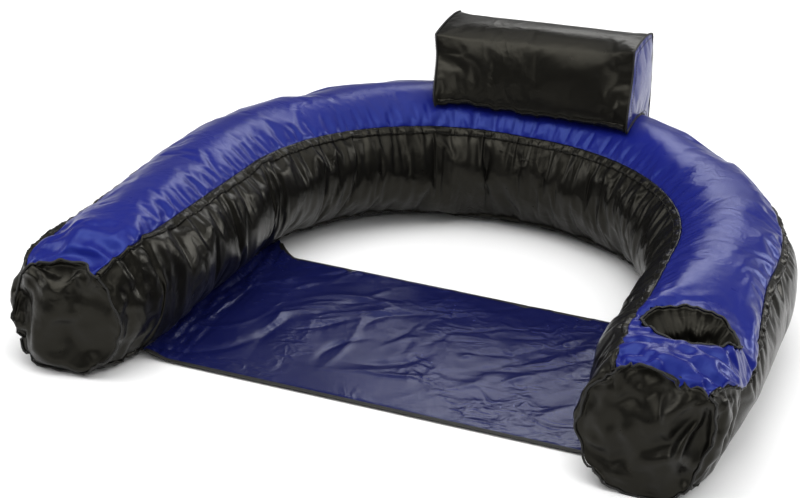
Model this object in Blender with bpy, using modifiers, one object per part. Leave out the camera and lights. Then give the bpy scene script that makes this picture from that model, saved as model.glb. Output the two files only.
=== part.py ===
"""U-shaped inflatable pool float: a nylon cover over a sealed bladder, a sling seat between
the arms, a pillow headrest on the back and a cup pocket in the right arm.

Axes: +X towards the arm with the cup pocket, +Y towards the headrest, +Z up.
The origin is under the middle of the object, on the surface that it stands on.
"""
import math
from collections import namedtuple

import bmesh
import bpy
from mathutils import Matrix, Vector

MM = 0.001

# ---- the tube: two straight arms joined by a half ellipse ----
ARM_HALF_SPACING = 360 * MM      # centreline of an arm to the middle of the float
ARM_LENGTH = 400 * MM            # straight part of an arm
BACK_DEPTH = 412 * MM            # depth of the half ellipse along its centreline
TUBE_RADIUS_BACK = 101 * MM
TUBE_RADIUS_END = 90 * MM
FLAT_HALF_ANGLE = 15             # half the angle that the tube's flat underside takes up
END_TUCK = 5.5 * MM              # how much the tube draws in at its very ends
END_TUCK_LENGTH = 30 * MM
CAP_BULGE = 20 * MM

# ---- walls and clearances ----
COVER_WALL = 1.0 * MM
BLADDER_WALL = 1.0 * MM
BLADDER_INSET = 3.0 * MM         # cover's outer face to the bladder's outer face
GAP = 0.3 * MM                   # between pieces that touch
PANEL_START = 1.6 * MM           # where the panels begin behind the end cap's rim

# ---- seams, as (angle at the back, angle at the arm ends) round the tube ----
# 0 degrees points into the U, 90 up, 180 out and 270 down.
INNER_BOTTOM = (-55, -55)
INNER_TOP = (35, 48)
OUTER_TOP = (138, 138)
OUTER_BOTTOM = (235, 235)
TAPE_WIDTH = 12 * MM
TAPE_WALL = 0.6 * MM
TAPE_LIFT = 0.4 * MM             # panel to tape
TAPE_START = 6 * MM
PIPING_RADIUS = 1.5 * MM
PIPING_LIFT = 1.3 * MM           # panel to piping, which spans the tube's facets

# ---- sling seat ----
SEAT_FRONT = 72 * MM             # arm's front end to the seat's front edge
SEAT_LENGTH = 445 * MM           # along the arm, front edge to rear edge
SEAT_REAR_CURVE = 35 * MM        # how far the rear edge is cut in at its middle
SEAT_WALL = 1.2 * MM
SEAT_RISE_WIDTH = 42 * MM        # strip that climbs to the arm's seam
SEAT_CLEAR = 3.0 * MM            # seat's side edge to the tube
BINDING_WALL = 0.8 * MM
BINDING_DEPTH = 8 * MM
BINDING_TRIM = 4 * MM            # the binding stops this short of the arm

# ---- cup pocket in the right arm ----
CUP_DISTANCE = 124 * MM          # arm's front end to the mouth's centre
CUP_SHIFT = 4 * MM               # mouth's centre to the arm's centreline, outwards
CUP_HALF_WIDTH = 54 * MM         # across the arm
CUP_HALF_LENGTH = 36 * MM        # along the arm
CUP_DEPTH = 112 * MM             # below the top of the tube
CUP_WALL = 1.0 * MM
CUP_HOLE_CLEAR = 1.0 * MM        # pocket to the hole's edge in the top panel
WELL_CLEAR = 2.0 * MM            # pocket to the well in the bladder
CUP_BINDING_RADIUS = 1.6 * MM

# ---- headrest ----
HEADREST_WIDTH = 268 * MM
HEADREST_DEPTH = 128 * MM
HEADREST_HEIGHT = 100 * MM
HEADREST_CORNER = 18 * MM
HEADREST_AHEAD = 60 * MM         # front face to the crest of the back tube
HEADREST_LIFT = 0.6 * MM         # above the crest of the back tube
HINGE_STRIP_WALL = 1.0 * MM
HINGE_STRIP_BACK = 4 * MM        # behind the headrest's front face

# ---- inflation valves ----
FLANGE_RIM = 8.5 * MM            # stem's side to the flange's edge
FLANGE_WALL = 1.4 * MM
WINDOW_RIM = 4 * MM              # flange's edge to the hole in the cover
STEM_RADIUS = 7.5 * MM
STEM_BORE = 4.75 * MM
STEM_REACH = 13.4 * MM           # below the flange's top face
STEM_PROUD = 1.3 * MM            # above the flange's top face, pushed home
STEM_FIT = 0.3 * MM              # stem to flange, all round
COLLAR_STEP = 1.1 * MM           # stem's side to its collar's edge
COLLAR_WALL = 1.0 * MM
BLADDER_HOLE_FIT = 0.5 * MM      # collar to the hole in the bladder
PLUG_RIM = 0.5 * MM              # stem's side to the plug's edge
PLUG_WALL = 1.4 * MM
PLUG_CLEAR = (0.45 * MM, 1.65 * MM)   # plug to the bore, at its root and its tip
PLUG_REACH = 5.6 * MM
PLUG_STRAP_REACH = 3.0 * MM      # plug's edge to its hinge
STRAP_WIDTH = 4 * MM
FLAP_OVERLAP = 1.45 * MM         # flap past the bore
FLAP_WALL = 0.5 * MM

FLANGE_RADIUS = STEM_RADIUS + FLANGE_RIM
VALVE_WINDOW_RADIUS = FLANGE_RADIUS + WINDOW_RIM
COLLAR_RADIUS = STEM_RADIUS + COLLAR_STEP
PLUG_RADIUS = STEM_RADIUS + PLUG_RIM
PLUG_TAPER = tuple(STEM_BORE - clear for clear in PLUG_CLEAR)
PLUG_HINGE_RADIUS = PLUG_RADIUS + PLUG_STRAP_REACH
FLAP_RADIUS = STEM_BORE + FLAP_OVERLAP

# ---- zip in the outer bottom seam of the left arm ----
ZIP_START = 60 * MM              # arm's front end to the zip
ZIP_LENGTH = 248 * MM
ZIP_PITCH = 8 * MM
ZIP_TAPE_WIDTH = 12 * MM
ZIP_TAPE_SLIT = 1.2 * MM
TOOTH_REACH = 1.5 * MM
TOOTH_CLEAR = 0.3 * MM
SPINE_INNER = 2.0 * MM
SPINE_OUTER = 3.2 * MM
TOOTH_HEIGHT = 1.4 * MM
SLIDER_LENGTH = 9 * MM
SLIDER_WALL = 1.2 * MM
SLIDER_AT = 30 * MM              # from the zip's front end
PULL_LENGTH = 22 * MM
PULL_WIDTH = 7 * MM
PULL_WALL = 1.2 * MM

# ---- fineness ----
BACK_STEPS = 20
PANEL_STEPS = 6
ARM_STOPS = (12 * MM, 30 * MM, 215 * MM)
DOME_STEPS = (0.0, 0.45, 0.8, 1.0)
MERGE = 0.01 * MM
CUTTER_REACH = 20 * MM           # how long a cutter runs through a wall, or past it

Station = namedtuple("Station", "x y inward_x inward_y radius height share")


# ---------------------------------------------------------------- scene helpers

def clear_scene():
    for item in list(bpy.data.objects):
        bpy.data.objects.remove(item, do_unlink=True)


def new_collection(name):
    collection = bpy.data.collections.new(name)
    bpy.context.scene.collection.children.link(collection)
    return collection


def finish(name, colour, roughness, metallic=0.0):
    material = bpy.data.materials.new(name)
    material.use_nodes = True
    shader = material.node_tree.nodes["Principled BSDF"]
    shader.inputs["Base Color"].default_value = (*colour, 1.0)
    shader.inputs["Roughness"].default_value = roughness
    shader.inputs["Metallic"].default_value = metallic
    return material


def add_object(name, data, collection, look=None):
    piece = bpy.data.objects.new(name, data)
    collection.objects.link(piece)
    if look:
        data.materials.append(look)
    return piece


def as_cutter(piece):
    piece.hide_render = True
    piece.display_type = "WIRE"
    return piece


def mesh_object(name, bm, collection, look=None, smooth=True):
    mesh = bpy.data.meshes.new(name)
    bm.to_mesh(mesh)
    bm.free()
    if smooth:
        mesh.shade_smooth()
        mesh.set_sharp_from_angle(angle=math.radians(35))
    return add_object(name, mesh, collection, look)


def surface(name, columns, rows, place, collection, look=None, wall=0.0, capped=False):
    """A grid whose corner (column, row) is moved to place(column, row)."""
    bm = bmesh.new()
    bmesh.ops.create_grid(bm, x_segments=columns, y_segments=rows, size=0.5)
    for vert in bm.verts:
        column = round((vert.co.x + 0.5) * columns)
        row = round((vert.co.y + 0.5) * rows)
        vert.co = place(column, row)
    bmesh.ops.remove_doubles(bm, verts=bm.verts, dist=MERGE)
    if capped:
        rim = [edge for edge in bm.edges if edge.is_boundary]
        bmesh.ops.holes_fill(bm, edges=rim, sides=0)
        bmesh.ops.recalc_face_normals(bm, faces=bm.faces)
    piece = mesh_object(name, bm, collection, look)
    if wall:
        thicken = piece.modifiers.new("Wall", "SOLIDIFY")
        thicken.thickness = wall
        thicken.offset = -1
        thicken.use_even_offset = True
    return piece


def boolean(piece, other, operation="DIFFERENCE"):
    modifier = piece.modifiers.new(operation.title(), "BOOLEAN")
    modifier.operation = operation
    modifier.object = other
    modifier.solver = "EXACT"


def cylinder(name, radius, depth, matrix, collection, look=None, sides=24):
    bm = bmesh.new()
    bmesh.ops.create_cone(bm, cap_ends=True, segments=sides, radius1=radius, radius2=radius,
                          depth=depth, matrix=matrix)
    return mesh_object(name, bm, collection, look)


def box(name, low, high, collection, look=None, bevel=0.0, segments=1):
    size = Vector(high) - Vector(low)
    middle = (Vector(high) + Vector(low)) / 2
    bm = bmesh.new()
    place = Matrix.Translation(middle) @ Matrix.Diagonal((*size, 1))
    bmesh.ops.create_cube(bm, size=1.0, matrix=place)
    piece = mesh_object(name, bm, collection, look, smooth=False)
    if bevel:
        rounding = piece.modifiers.new("Corners", "BEVEL")
        rounding.width = bevel
        rounding.segments = segments
    return piece


def turned(name, profile, collection, look, closed=True, steps=20):
    """A profile of (radius, height) points turned about Z; it runs down its outer side."""
    mesh = bpy.data.meshes.new(name)
    count = len(profile)
    last = count if closed else count - 1
    edges = [(index, (index + 1) % count) for index in range(last)]
    mesh.from_pydata([(radius, 0, height) for radius, height in profile], edges, [])
    piece = add_object(name, mesh, collection, look)
    screw = piece.modifiers.new("Turn", "SCREW")
    screw.steps = steps
    screw.render_steps = steps
    screw.use_merge_vertices = True
    screw.merge_threshold = 0.0001
    return piece


def outline_solid(name, points, thickness, collection, look=None):
    """A flat outline in the XY plane, thickened equally both ways, as a mesh."""
    curve = bpy.data.curves.new(name, "CURVE")
    curve.dimensions = "2D"
    curve.fill_mode = "BOTH"
    curve.extrude = thickness / 2
    spline = curve.splines.new("POLY")
    spline.points.add(len(points) - 1)
    for point, (x, y) in zip(spline.points, points):
        point.co = (x, y, 0, 1)
    spline.use_cyclic_u = True
    return curve_to_mesh(name, curve, collection, look)


def curve_to_mesh(name, curve, collection, look=None):
    holder = bpy.data.objects.new(name + "_curve", curve)
    collection.objects.link(holder)
    graph = bpy.context.evaluated_depsgraph_get()
    mesh = bpy.data.meshes.new_from_object(holder.evaluated_get(graph))
    mesh.name = name
    bpy.data.objects.remove(holder, do_unlink=True)
    bpy.data.curves.remove(curve)
    bm = bmesh.new()
    bm.from_mesh(mesh)
    bmesh.ops.remove_doubles(bm, verts=bm.verts, dist=MERGE)
    bmesh.ops.recalc_face_normals(bm, faces=bm.faces)
    bm.to_mesh(mesh)
    bm.free()
    mesh.materials.clear()
    return add_object(name, mesh, collection, look)


def round_bead(name, points, radius, collection, look):
    """A closed round cord through the given points."""
    curve = bpy.data.curves.new(name, "CURVE")
    curve.dimensions = "3D"
    curve.bevel_depth = radius
    curve.bevel_resolution = 1
    spline = curve.splines.new("POLY")
    spline.points.add(len(points) - 1)
    for point, place in zip(spline.points, points):
        point.co = (*place, 1)
    spline.use_cyclic_u = True
    return add_object(name, curve, collection, look)


# ---------------------------------------------------------------- the tube's geometry

def quarter_length(angle):
    """Length of the half ellipse from its end to the given angle, in degrees."""
    pieces = 180
    total = 0.0
    for step in range(pieces):
        middle = math.radians(angle) * (step + 0.5) / pieces
        pace = math.hypot(ARM_HALF_SPACING * math.sin(middle), BACK_DEPTH * math.cos(middle))
        total += pace * math.radians(angle) / pieces
    return total


HALF_RUN = ARM_LENGTH + quarter_length(90)
OVERALL_DEPTH = CAP_BULGE + ARM_LENGTH + BACK_DEPTH + TUBE_RADIUS_BACK
FRONT_Y = -OVERALL_DEPTH / 2 + CAP_BULGE
BEND_Y = FRONT_Y + ARM_LENGTH
COS_FLAT = math.cos(math.radians(FLAT_HALF_ANGLE))
CREST_Z = TUBE_RADIUS_BACK * (1 + COS_FLAT)


def full_radius(share):
    """Tube radius; share is 0 at the middle of the back and 1 at an arm's end."""
    return TUBE_RADIUS_BACK + (TUBE_RADIUS_END - TUBE_RADIUS_BACK) * share


def arm_station(side, distance):
    """Section of the right (+1) or left (-1) arm, a distance behind its front end."""
    share = 1 - distance / HALF_RUN
    near_end = max(0.0, 1 - distance / END_TUCK_LENGTH)
    radius = full_radius(share) - END_TUCK * near_end ** 2
    return Station(side * ARM_HALF_SPACING, FRONT_Y + distance, -side, 0.0,
                   radius, full_radius(share) * COS_FLAT, share)


def back_station(angle):
    """Section of the half ellipse, 0 degrees at the right arm and 180 at the left."""
    turn = math.radians(angle)
    lean = Vector((-BACK_DEPTH * math.cos(turn), -ARM_HALF_SPACING * math.sin(turn))).normalized()
    share = 1 - (ARM_LENGTH + quarter_length(min(angle, 180 - angle))) / HALF_RUN
    radius = full_radius(share)
    return Station(ARM_HALF_SPACING * math.cos(turn), BEND_Y + BACK_DEPTH * math.sin(turn),
                   lean.x, lean.y, radius, radius * COS_FLAT, share)


def run_station(distance):
    """Section of the right half, a distance along the centreline from the front end."""
    if distance <= ARM_LENGTH:
        return arm_station(1, distance)
    low, high = 0.0, 90.0
    for _ in range(30):
        angle = (low + high) / 2
        if quarter_length(angle) < distance - ARM_LENGTH:
            low = angle
        else:
            high = angle
    return back_station((low + high) / 2)


def whole_run(start, left_start=None):
    """Sections from the right arm's front end, round the back, to the left arm's."""
    left_start = start if left_start is None else left_start
    right = [start] + [stop for stop in ARM_STOPS if stop > start + MM]
    left = [left_start] + [stop for stop in ARM_STOPS if stop > left_start + MM]
    stations = [arm_station(1, stop) for stop in right]
    stations += [back_station(180 * step / BACK_STEPS) for step in range(BACK_STEPS + 1)]
    stations += [arm_station(-1, stop) for stop in reversed(left)]
    return stations


def on_tube(station, angle, offset=0.0):
    """Point on the tube's section at an angle in degrees, offset outwards."""
    reach = (station.radius + offset) * math.cos(math.radians(angle))
    rise = (station.radius + offset) * math.sin(math.radians(angle))
    return Vector((station.x + station.inward_x * reach, station.y + station.inward_y * reach,
                   station.height + rise))


def on_dome(side, share, angle, offset=0.0):
    """Point on the bulging end of an arm; share is 0 at its middle and 1 at its rim."""
    station = arm_station(side, 0.0)
    rim = on_tube(station, angle, offset)
    middle = Vector((station.x, station.y, station.height))
    point = middle.lerp(rim, share)
    point.y -= CAP_BULGE * (1 - share ** 2) + offset
    return point


def seam_angle(seam, share):
    return seam[0] + (seam[1] - seam[0]) * share


def round_angles():
    """Angles of the whole section; the flat underside is one straight step."""
    low = 270 + FLAT_HALF_ANGLE
    steps = 22
    span = 360 - 2 * FLAT_HALF_ANGLE
    return [low - 360 + span * step / steps for step in range(steps + 1)] + [low]


def tube_top(x, y, offset=0.0):
    """Height of the back tube's upper face above a point of the floor."""
    best = min((math.hypot(station.x - x, station.y - y), station.radius, station.height)
               for station in (back_station(45 + step) for step in range(91)))
    distance, radius, height = best
    return height + math.sqrt(max((radius + offset) ** 2 - distance ** 2, 0.0))


# ---------------------------------------------------------------- cover

def cover_panel(name, first, last, collection, look):
    """A panel between two seams, all round the float."""
    stations = whole_run(PANEL_START)

    def place(column, row):
        station = stations[row]
        slit = math.degrees(GAP / station.radius)
        low = seam_angle(first, station.share) + slit
        high = seam_angle(last, station.share) - slit
        return on_tube(station, low + (high - low) * column / PANEL_STEPS)
    return surface(name, PANEL_STEPS, len(stations) - 1, place, collection, look, COVER_WALL)


def bottom_panel(collection, look):
    """The panel underneath; its middle strip is the flat that the float stands on."""
    stations = whole_run(PANEL_START)

    def place(column, row):
        station = stations[row]
        slit = math.degrees(GAP / station.radius)
        angles = (OUTER_BOTTOM[0] + slit, 270 - FLAT_HALF_ANGLE, 270 + FLAT_HALF_ANGLE,
                  INNER_BOTTOM[0] + 360 - slit)
        return on_tube(station, angles[column])
    return surface("cover_bottom_panel", 3, len(stations) - 1, place, collection, look, COVER_WALL)


def tube_strip(name, stations, seam, centre, width, lift, wall, collection, look):
    """A strip along a seam; centre is its distance from the seam round the tube."""
    def place(column, row):
        station = stations[row]
        middle = seam_angle(seam, station.share)
        shift = centre + width * (column / 2 - 0.5)
        return on_tube(station, middle + math.degrees(shift / station.radius), lift + wall)
    return surface(name, 2, len(stations) - 1, place, collection, look, wall)


def end_cap(name, side, collection, look):
    angles = round_angles()
    shares = DOME_STEPS if side > 0 else DOME_STEPS[::-1]

    def place(column, row):
        return on_dome(side, shares[row], angles[column])
    return surface(name, len(angles) - 1, len(shares) - 1, place, collection, look, COVER_WALL)


def end_piping(name, side, collection, look):
    station = arm_station(side, PANEL_START / 2)
    clear = PIPING_RADIUS + PIPING_LIFT
    points = [on_tube(station, angle, clear) for angle in round_angles()[:-1]]
    return round_bead(name, points, PIPING_RADIUS, collection, look)


# ---------------------------------------------------------------- cup pocket

def cup_rim(turn, grow, offset):
    """Point on the mouth's ellipse, grown sideways, on the tube's upper face."""
    across = CUP_SHIFT + (CUP_HALF_WIDTH + grow) * math.cos(turn)
    along = (CUP_HALF_LENGTH + grow) * math.sin(turn)
    station = arm_station(1, CUP_DISTANCE + along)
    angle = math.degrees(math.acos(-across / station.radius))
    return on_tube(station, angle, offset)


def cup_centre(z):
    return Vector((ARM_HALF_SPACING + CUP_SHIFT, FRONT_Y + CUP_DISTANCE, z))


def cup_floor_z():
    station = arm_station(1, CUP_DISTANCE)
    return station.height + station.radius - CUP_DEPTH


def cup_pocket(collection, look):
    """A pouch hanging from the mouth: an oval sleeve that closes in a flat bottom."""
    columns = 24
    levels = ((0.0, 1.0), (0.5, 0.97), (0.93, 0.93), (1.0, 0.82), (1.0, 0.0))
    centre = cup_centre(cup_floor_z())

    def place(column, row):
        drop, size = levels[row]
        rim = cup_rim(2 * math.pi * column / columns, 0.0, -GAP)
        point = centre.lerp(rim, size)
        point.z = rim.z + (centre.z - rim.z) * drop
        return point
    return surface("cup_pocket", columns, len(levels) - 1, place, collection, look, CUP_WALL)


def cup_binding(collection, look):
    columns = 28
    lift = CUP_BINDING_RADIUS + TAPE_LIFT
    grow = CUP_WALL + CUP_HOLE_CLEAR / 2
    points = [cup_rim(2 * math.pi * step / columns, grow, lift) for step in range(columns)]
    return round_bead("cup_pocket_binding", points, CUP_BINDING_RADIUS, collection, look)


def oval_cutter(name, grow, bottom, collection):
    """An upright oval bar on the cup's axis, from a given height up past the tube."""
    top = 2 * TUBE_RADIUS_END + CUTTER_REACH
    scale = Matrix.Diagonal((CUP_HALF_WIDTH + grow, CUP_HALF_LENGTH + grow, 1, 1))
    middle = Matrix.Translation(cup_centre((bottom + top) / 2))
    return as_cutter(cylinder(name, 1.0, top - bottom, middle @ scale, collection, sides=32))


# ---------------------------------------------------------------- bladder

def bladder_form(name, inset, collection, look=None):
    """The whole tube with its domed ends as one closed form, inset from the cover."""
    angles = round_angles()
    stations = whole_run(ARM_STOPS[0])
    domes = len(DOME_STEPS)
    rows = len(stations) + 2 * domes

    def place(column, row):
        if row < domes:
            return on_dome(1, DOME_STEPS[row], angles[column], -inset)
        if row >= rows - domes:
            return on_dome(-1, DOME_STEPS[rows - 1 - row], angles[column], -inset)
        return on_tube(stations[row - domes], angles[column], -inset)
    return surface(name, len(angles) - 1, rows - 1, place, collection, look)


def main_bladder(collection, cutters, look):
    """A hollow form with a closed well for the cup pocket and a hole for the valve."""
    bladder = bladder_form("main_bladder", BLADDER_INSET, collection, look)
    well = CUP_WALL + WELL_CLEAR
    boolean(bladder, oval_cutter("cup_well", well, cup_floor_z() - well, cutters))
    hollow = as_cutter(bladder_form("bladder_hollow", BLADDER_INSET + BLADDER_WALL, cutters))
    wall = well + BLADDER_WALL
    boolean(hollow, oval_cutter("cup_well_wall", wall, cup_floor_z() - wall, cutters))
    boolean(bladder, hollow)
    boolean(bladder, valve_hole("main_valve_hole", main_valve_seat(), cutters))
    return bladder


# ---------------------------------------------------------------- seat

def seat_shares():
    """Places across the seat from the left arm to the right, with the climbing strips."""
    half = on_tube(arm_station(1, SEAT_FRONT), INNER_BOTTOM[0], SEAT_CLEAR).x
    inner = 1 - SEAT_RISE_WIDTH / half
    steps = (1.0, 1 - BINDING_TRIM / half, 1 - (1 - inner) * 0.35, 1 - (1 - inner) * 0.65,
             inner, inner / 2)
    return [-step for step in steps] + [0.0] + list(reversed(steps))


def seat_point(along, share, drop=0.0):
    """Point on the seat: along is 0 at the front edge and 1 at the rear; share is -1 to 1."""
    edge = on_tube(run_station(SEAT_FRONT + SEAT_LENGTH * along), INNER_BOTTOM[0], SEAT_CLEAR)
    climb = max(0.0, 1 - (1 - abs(share)) * edge.x / SEAT_RISE_WIDTH)
    blend = climb * climb * (3 - 2 * climb)
    flat_z = BINDING_WALL + 2 * GAP + SEAT_WALL
    z = flat_z + (edge.z - flat_z) * blend
    y = edge.y - SEAT_REAR_CURVE * along * (1 - climb ** 2)
    return Vector((edge.x * share, y, z - drop))


def seat_panel(collection, look):
    shares = seat_shares()
    hem = BINDING_DEPTH / SEAT_LENGTH
    rows = (0.0, hem, 0.25, 0.5, 0.75, 1 - hem, 1.0)

    def place(column, row):
        return seat_point(rows[row], shares[column])
    return surface("seat_panel", len(shares) - 1, len(rows) - 1, place, collection, look, SEAT_WALL)


def seat_binding(name, along, inward, collection, look):
    """Binding folded over an edge of the seat, as a channel along it."""
    shares = seat_shares()[1:-1]
    slot = SEAT_WALL / 2 + GAP
    outside = slot + BINDING_WALL
    lip = GAP + BINDING_WALL
    section = ((1, -outside), (-lip, -outside), (-lip, outside), (1, outside),
               (1, slot), (-GAP, slot), (-GAP, -slot), (1, -slot))

    def place(column, row):
        into, rise = section[column % len(section)]
        edge = seat_point(along, shares[row], SEAT_WALL / 2)
        hem = seat_point(along + inward * BINDING_DEPTH / SEAT_LENGTH, shares[row], SEAT_WALL / 2)
        point = hem if into > 0 else edge + (hem - edge).normalized() * into
        return point + Vector((0, 0, rise))
    return surface(name, len(section), len(shares) - 1, place, collection, look, capped=True)


# ---------------------------------------------------------------- headrest

HEADREST_FRONT = BEND_Y + BACK_DEPTH - HEADREST_AHEAD
HEADREST_REAR = HEADREST_FRONT + HEADREST_DEPTH
HEADREST_BASE = CREST_Z + HEADREST_LIFT
HEADREST_TOP = HEADREST_BASE + HEADREST_HEIGHT


def rounded_section(inset):
    """Headrest's section in the YZ plane, run so that a swept skin faces outwards."""
    corner = HEADREST_CORNER - inset
    points = []
    rear, front = HEADREST_REAR - HEADREST_CORNER, HEADREST_FRONT + HEADREST_CORNER
    top, base = HEADREST_TOP - HEADREST_CORNER, HEADREST_BASE + HEADREST_CORNER
    for turn, y, z in ((0, rear, top), (90, front, top), (180, front, base), (270, rear, base)):
        for step in range(4):
            angle = math.radians(turn + 30 * step)
            points.append((y + corner * math.cos(angle), z + corner * math.sin(angle)))
    return points


def headrest_wrap(collection, cutters, look):
    points = rounded_section(0.0)
    half = HEADREST_WIDTH / 2 - COVER_WALL - GAP

    def place(column, row):
        y, z = points[column % len(points)]
        return Vector((half * (2 * row - 1), y, z))
    wrap = surface("headrest_wrap", len(points), 1, place, collection, look, COVER_WALL)
    window = cylinder("headrest_valve_window", VALVE_WINDOW_RADIUS, CUTTER_REACH,
                      facing_back(headrest_valve_seat()), cutters)
    boolean(wrap, as_cutter(window))
    return wrap


def headrest_end(name, side, collection, look):
    piece = outline_solid(name, rounded_section(0.0), COVER_WALL, collection, look)
    middle = side * (HEADREST_WIDTH / 2 - COVER_WALL / 2)
    piece.matrix_world = Matrix(((0, 0, 1, middle), (1, 0, 0, 0), (0, 1, 0, 0), (0, 0, 0, 1)))
    return piece


def headrest_piping(name, side, collection, look):
    clear = -(PIPING_RADIUS + TAPE_LIFT)
    x = side * (HEADREST_WIDTH / 2 - COVER_WALL - GAP / 2)
    points = [Vector((x, y, z)) for y, z in rounded_section(clear)]
    return round_bead(name, points, PIPING_RADIUS, collection, look)


def headrest_bladder(collection, cutters, look):
    def inset_box(name, inset, group, finish_look=None):
        low = (-HEADREST_WIDTH / 2 + inset, HEADREST_FRONT + inset, HEADREST_BASE + inset)
        high = (HEADREST_WIDTH / 2 - inset, HEADREST_REAR - inset, HEADREST_TOP - inset)
        return box(name, low, high, group, finish_look, HEADREST_CORNER - inset + 2 * MM, 3)
    bladder = inset_box("headrest_bladder", BLADDER_INSET, collection, look)
    hollow = as_cutter(inset_box("headrest_hollow", BLADDER_INSET + BLADDER_WALL, cutters))
    boolean(bladder, hollow)
    boolean(bladder, valve_hole("headrest_valve_hole", headrest_valve_seat(), cutters))
    return bladder


def headrest_hinge_strip(collection, look):
    """The sewn strip that holds the headrest's front edge down on the tube."""
    steps = 10
    half = HEADREST_WIDTH / 2 - HEADREST_CORNER / 2
    y = HEADREST_FRONT + HINGE_STRIP_BACK
    top = HEADREST_BASE - GAP

    def place(column, row):
        x = half * (2 * row / steps - 1)
        foot = tube_top(x, y, TAPE_LIFT + COVER_WALL)
        return Vector((x, y, foot if column == 0 else max(top, foot + GAP)))
    return surface("headrest_hinge_strip", 1, steps, place, collection, look, HINGE_STRIP_WALL)


# ---------------------------------------------------------------- valves

def main_valve_seat():
    """Middle of the flange's outer face on the back of the tube."""
    y = BEND_Y + BACK_DEPTH + TUBE_RADIUS_BACK - BLADDER_INSET + GAP + FLANGE_WALL
    return Vector((0, y, TUBE_RADIUS_BACK * COS_FLAT))


def headrest_valve_seat():
    y = HEADREST_REAR - BLADDER_INSET + GAP + FLANGE_WALL
    return Vector((0, y, HEADREST_BASE + HEADREST_HEIGHT / 2))


def facing_back(seat):
    """Frame on a valve: its Z runs out of the cover, its Y runs up."""
    turn = Matrix(((-1, 0, 0, 0), (0, 0, 1, 0), (0, 1, 0, 0), (0, 0, 0, 1)))
    return Matrix.Translation(seat) @ turn


def valve_hole(name, seat, cutters):
    radius = COLLAR_RADIUS + BLADDER_HOLE_FIT
    return as_cutter(cylinder(name, radius, CUTTER_REACH, facing_back(seat), cutters))


def hang_on_hinge(piece, hinge, frame):
    """Parents a turned piece to an empty on its hinge; its profile keeps the valve's axis."""
    axis = bpy.data.objects.new(piece.name + "_axis", None)
    piece.users_collection[0].objects.link(axis)
    axis.matrix_world = frame @ Matrix.Translation(hinge)
    piece.parent = axis
    piece.matrix_local = Matrix.Translation(-hinge)


def valve(prefix, seat, collection, cutters, looks):
    """Flange, push-in stem, hinged plug and non-return flap, all about one axis."""
    frame = facing_back(seat)
    bore = STEM_RADIUS + STEM_FIT
    flange = turned(prefix + "_valve_flange",
                    [(FLANGE_RADIUS, 0), (FLANGE_RADIUS, -FLANGE_WALL), (bore, -FLANGE_WALL), (bore, 0)],
                    collection, looks["vinyl"])
    flange.matrix_world = frame

    stem = turned(prefix + "_valve_stem",
                  [(STEM_RADIUS, STEM_PROUD), (STEM_RADIUS, COLLAR_WALL - STEM_REACH),
                   (COLLAR_RADIUS, COLLAR_WALL - STEM_REACH), (COLLAR_RADIUS, -STEM_REACH),
                   (STEM_BORE, -STEM_REACH), (STEM_BORE, STEM_PROUD)],
                  collection, looks["vinyl"])
    ear = box(prefix + "_stem_ear", (-STRAP_WIDTH / 2, -PLUG_HINGE_RADIUS, GAP),
              (STRAP_WIDTH / 2, -(STEM_BORE + STEM_RADIUS) / 2, STEM_PROUD), cutters)
    boolean(stem, as_cutter(ear), "UNION")
    stem.matrix_world = frame
    ear.matrix_world = frame

    under = STEM_PROUD + GAP
    top = under + PLUG_WALL
    hinge = Vector((0, -PLUG_HINGE_RADIUS, under))
    plug = turned(prefix + "_valve_plug",
                  [(0, top), (PLUG_RADIUS, top), (PLUG_RADIUS, under), (PLUG_TAPER[0], under),
                   (PLUG_TAPER[1], under - PLUG_REACH), (0, under - PLUG_REACH)],
                  collection, looks["vinyl"], closed=False)
    hang_on_hinge(plug, hinge, frame)
    strap = box(prefix + "_plug_strap", (-STRAP_WIDTH / 2, -PLUG_HINGE_RADIUS, under),
                (STRAP_WIDTH / 2, -(PLUG_TAPER[0] + PLUG_RADIUS) / 2, under + PLUG_WALL * 0.7), cutters)
    strap.matrix_world = frame
    boolean(plug, as_cutter(strap), "UNION")

    flap = turned(prefix + "_valve_flap",
                  [(0, -STEM_REACH - GAP), (FLAP_RADIUS, -STEM_REACH - GAP),
                   (FLAP_RADIUS, -STEM_REACH - GAP - FLAP_WALL), (0, -STEM_REACH - GAP - FLAP_WALL)],
                  collection, looks["clear"], closed=False)
    flap.matrix_world = frame


# ---------------------------------------------------------------- zip

def zip_frame():
    """Frame on the zip: X along it towards the back, Z out of the tube, at its front end."""
    start = on_tube(arm_station(-1, ZIP_START), OUTER_BOTTOM[0])
    end = on_tube(arm_station(-1, ZIP_START + ZIP_LENGTH), OUTER_BOTTOM[0])
    angle = math.radians(OUTER_BOTTOM[0])
    along = (end - start).normalized()
    out = Vector((math.cos(angle), 0, math.sin(angle)))
    out = (out - along * out.dot(along)).normalized()
    side = out.cross(along)
    frame = Matrix((along, side, out)).transposed().to_4x4()
    frame.translation = start
    return frame


def comb_outline(side, shift):
    """Outline of one half of the zip: a spine with teeth that reach past the middle."""
    half_tooth = ZIP_PITCH / 4 - TOOTH_CLEAR / 2
    teeth = int(ZIP_LENGTH / ZIP_PITCH) - 1
    inner = side * SPINE_INNER
    tip = -side * TOOTH_REACH
    points = [(0, side * SPINE_OUTER), (0, inner)]
    for tooth in range(teeth):
        middle = ZIP_PITCH * (tooth + 0.5) + shift
        points += [(middle - half_tooth, inner), (middle - half_tooth, tip),
                   (middle + half_tooth, tip), (middle + half_tooth, inner)]
    points += [(ZIP_LENGTH, inner), (ZIP_LENGTH, side * SPINE_OUTER)]
    return points


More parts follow.
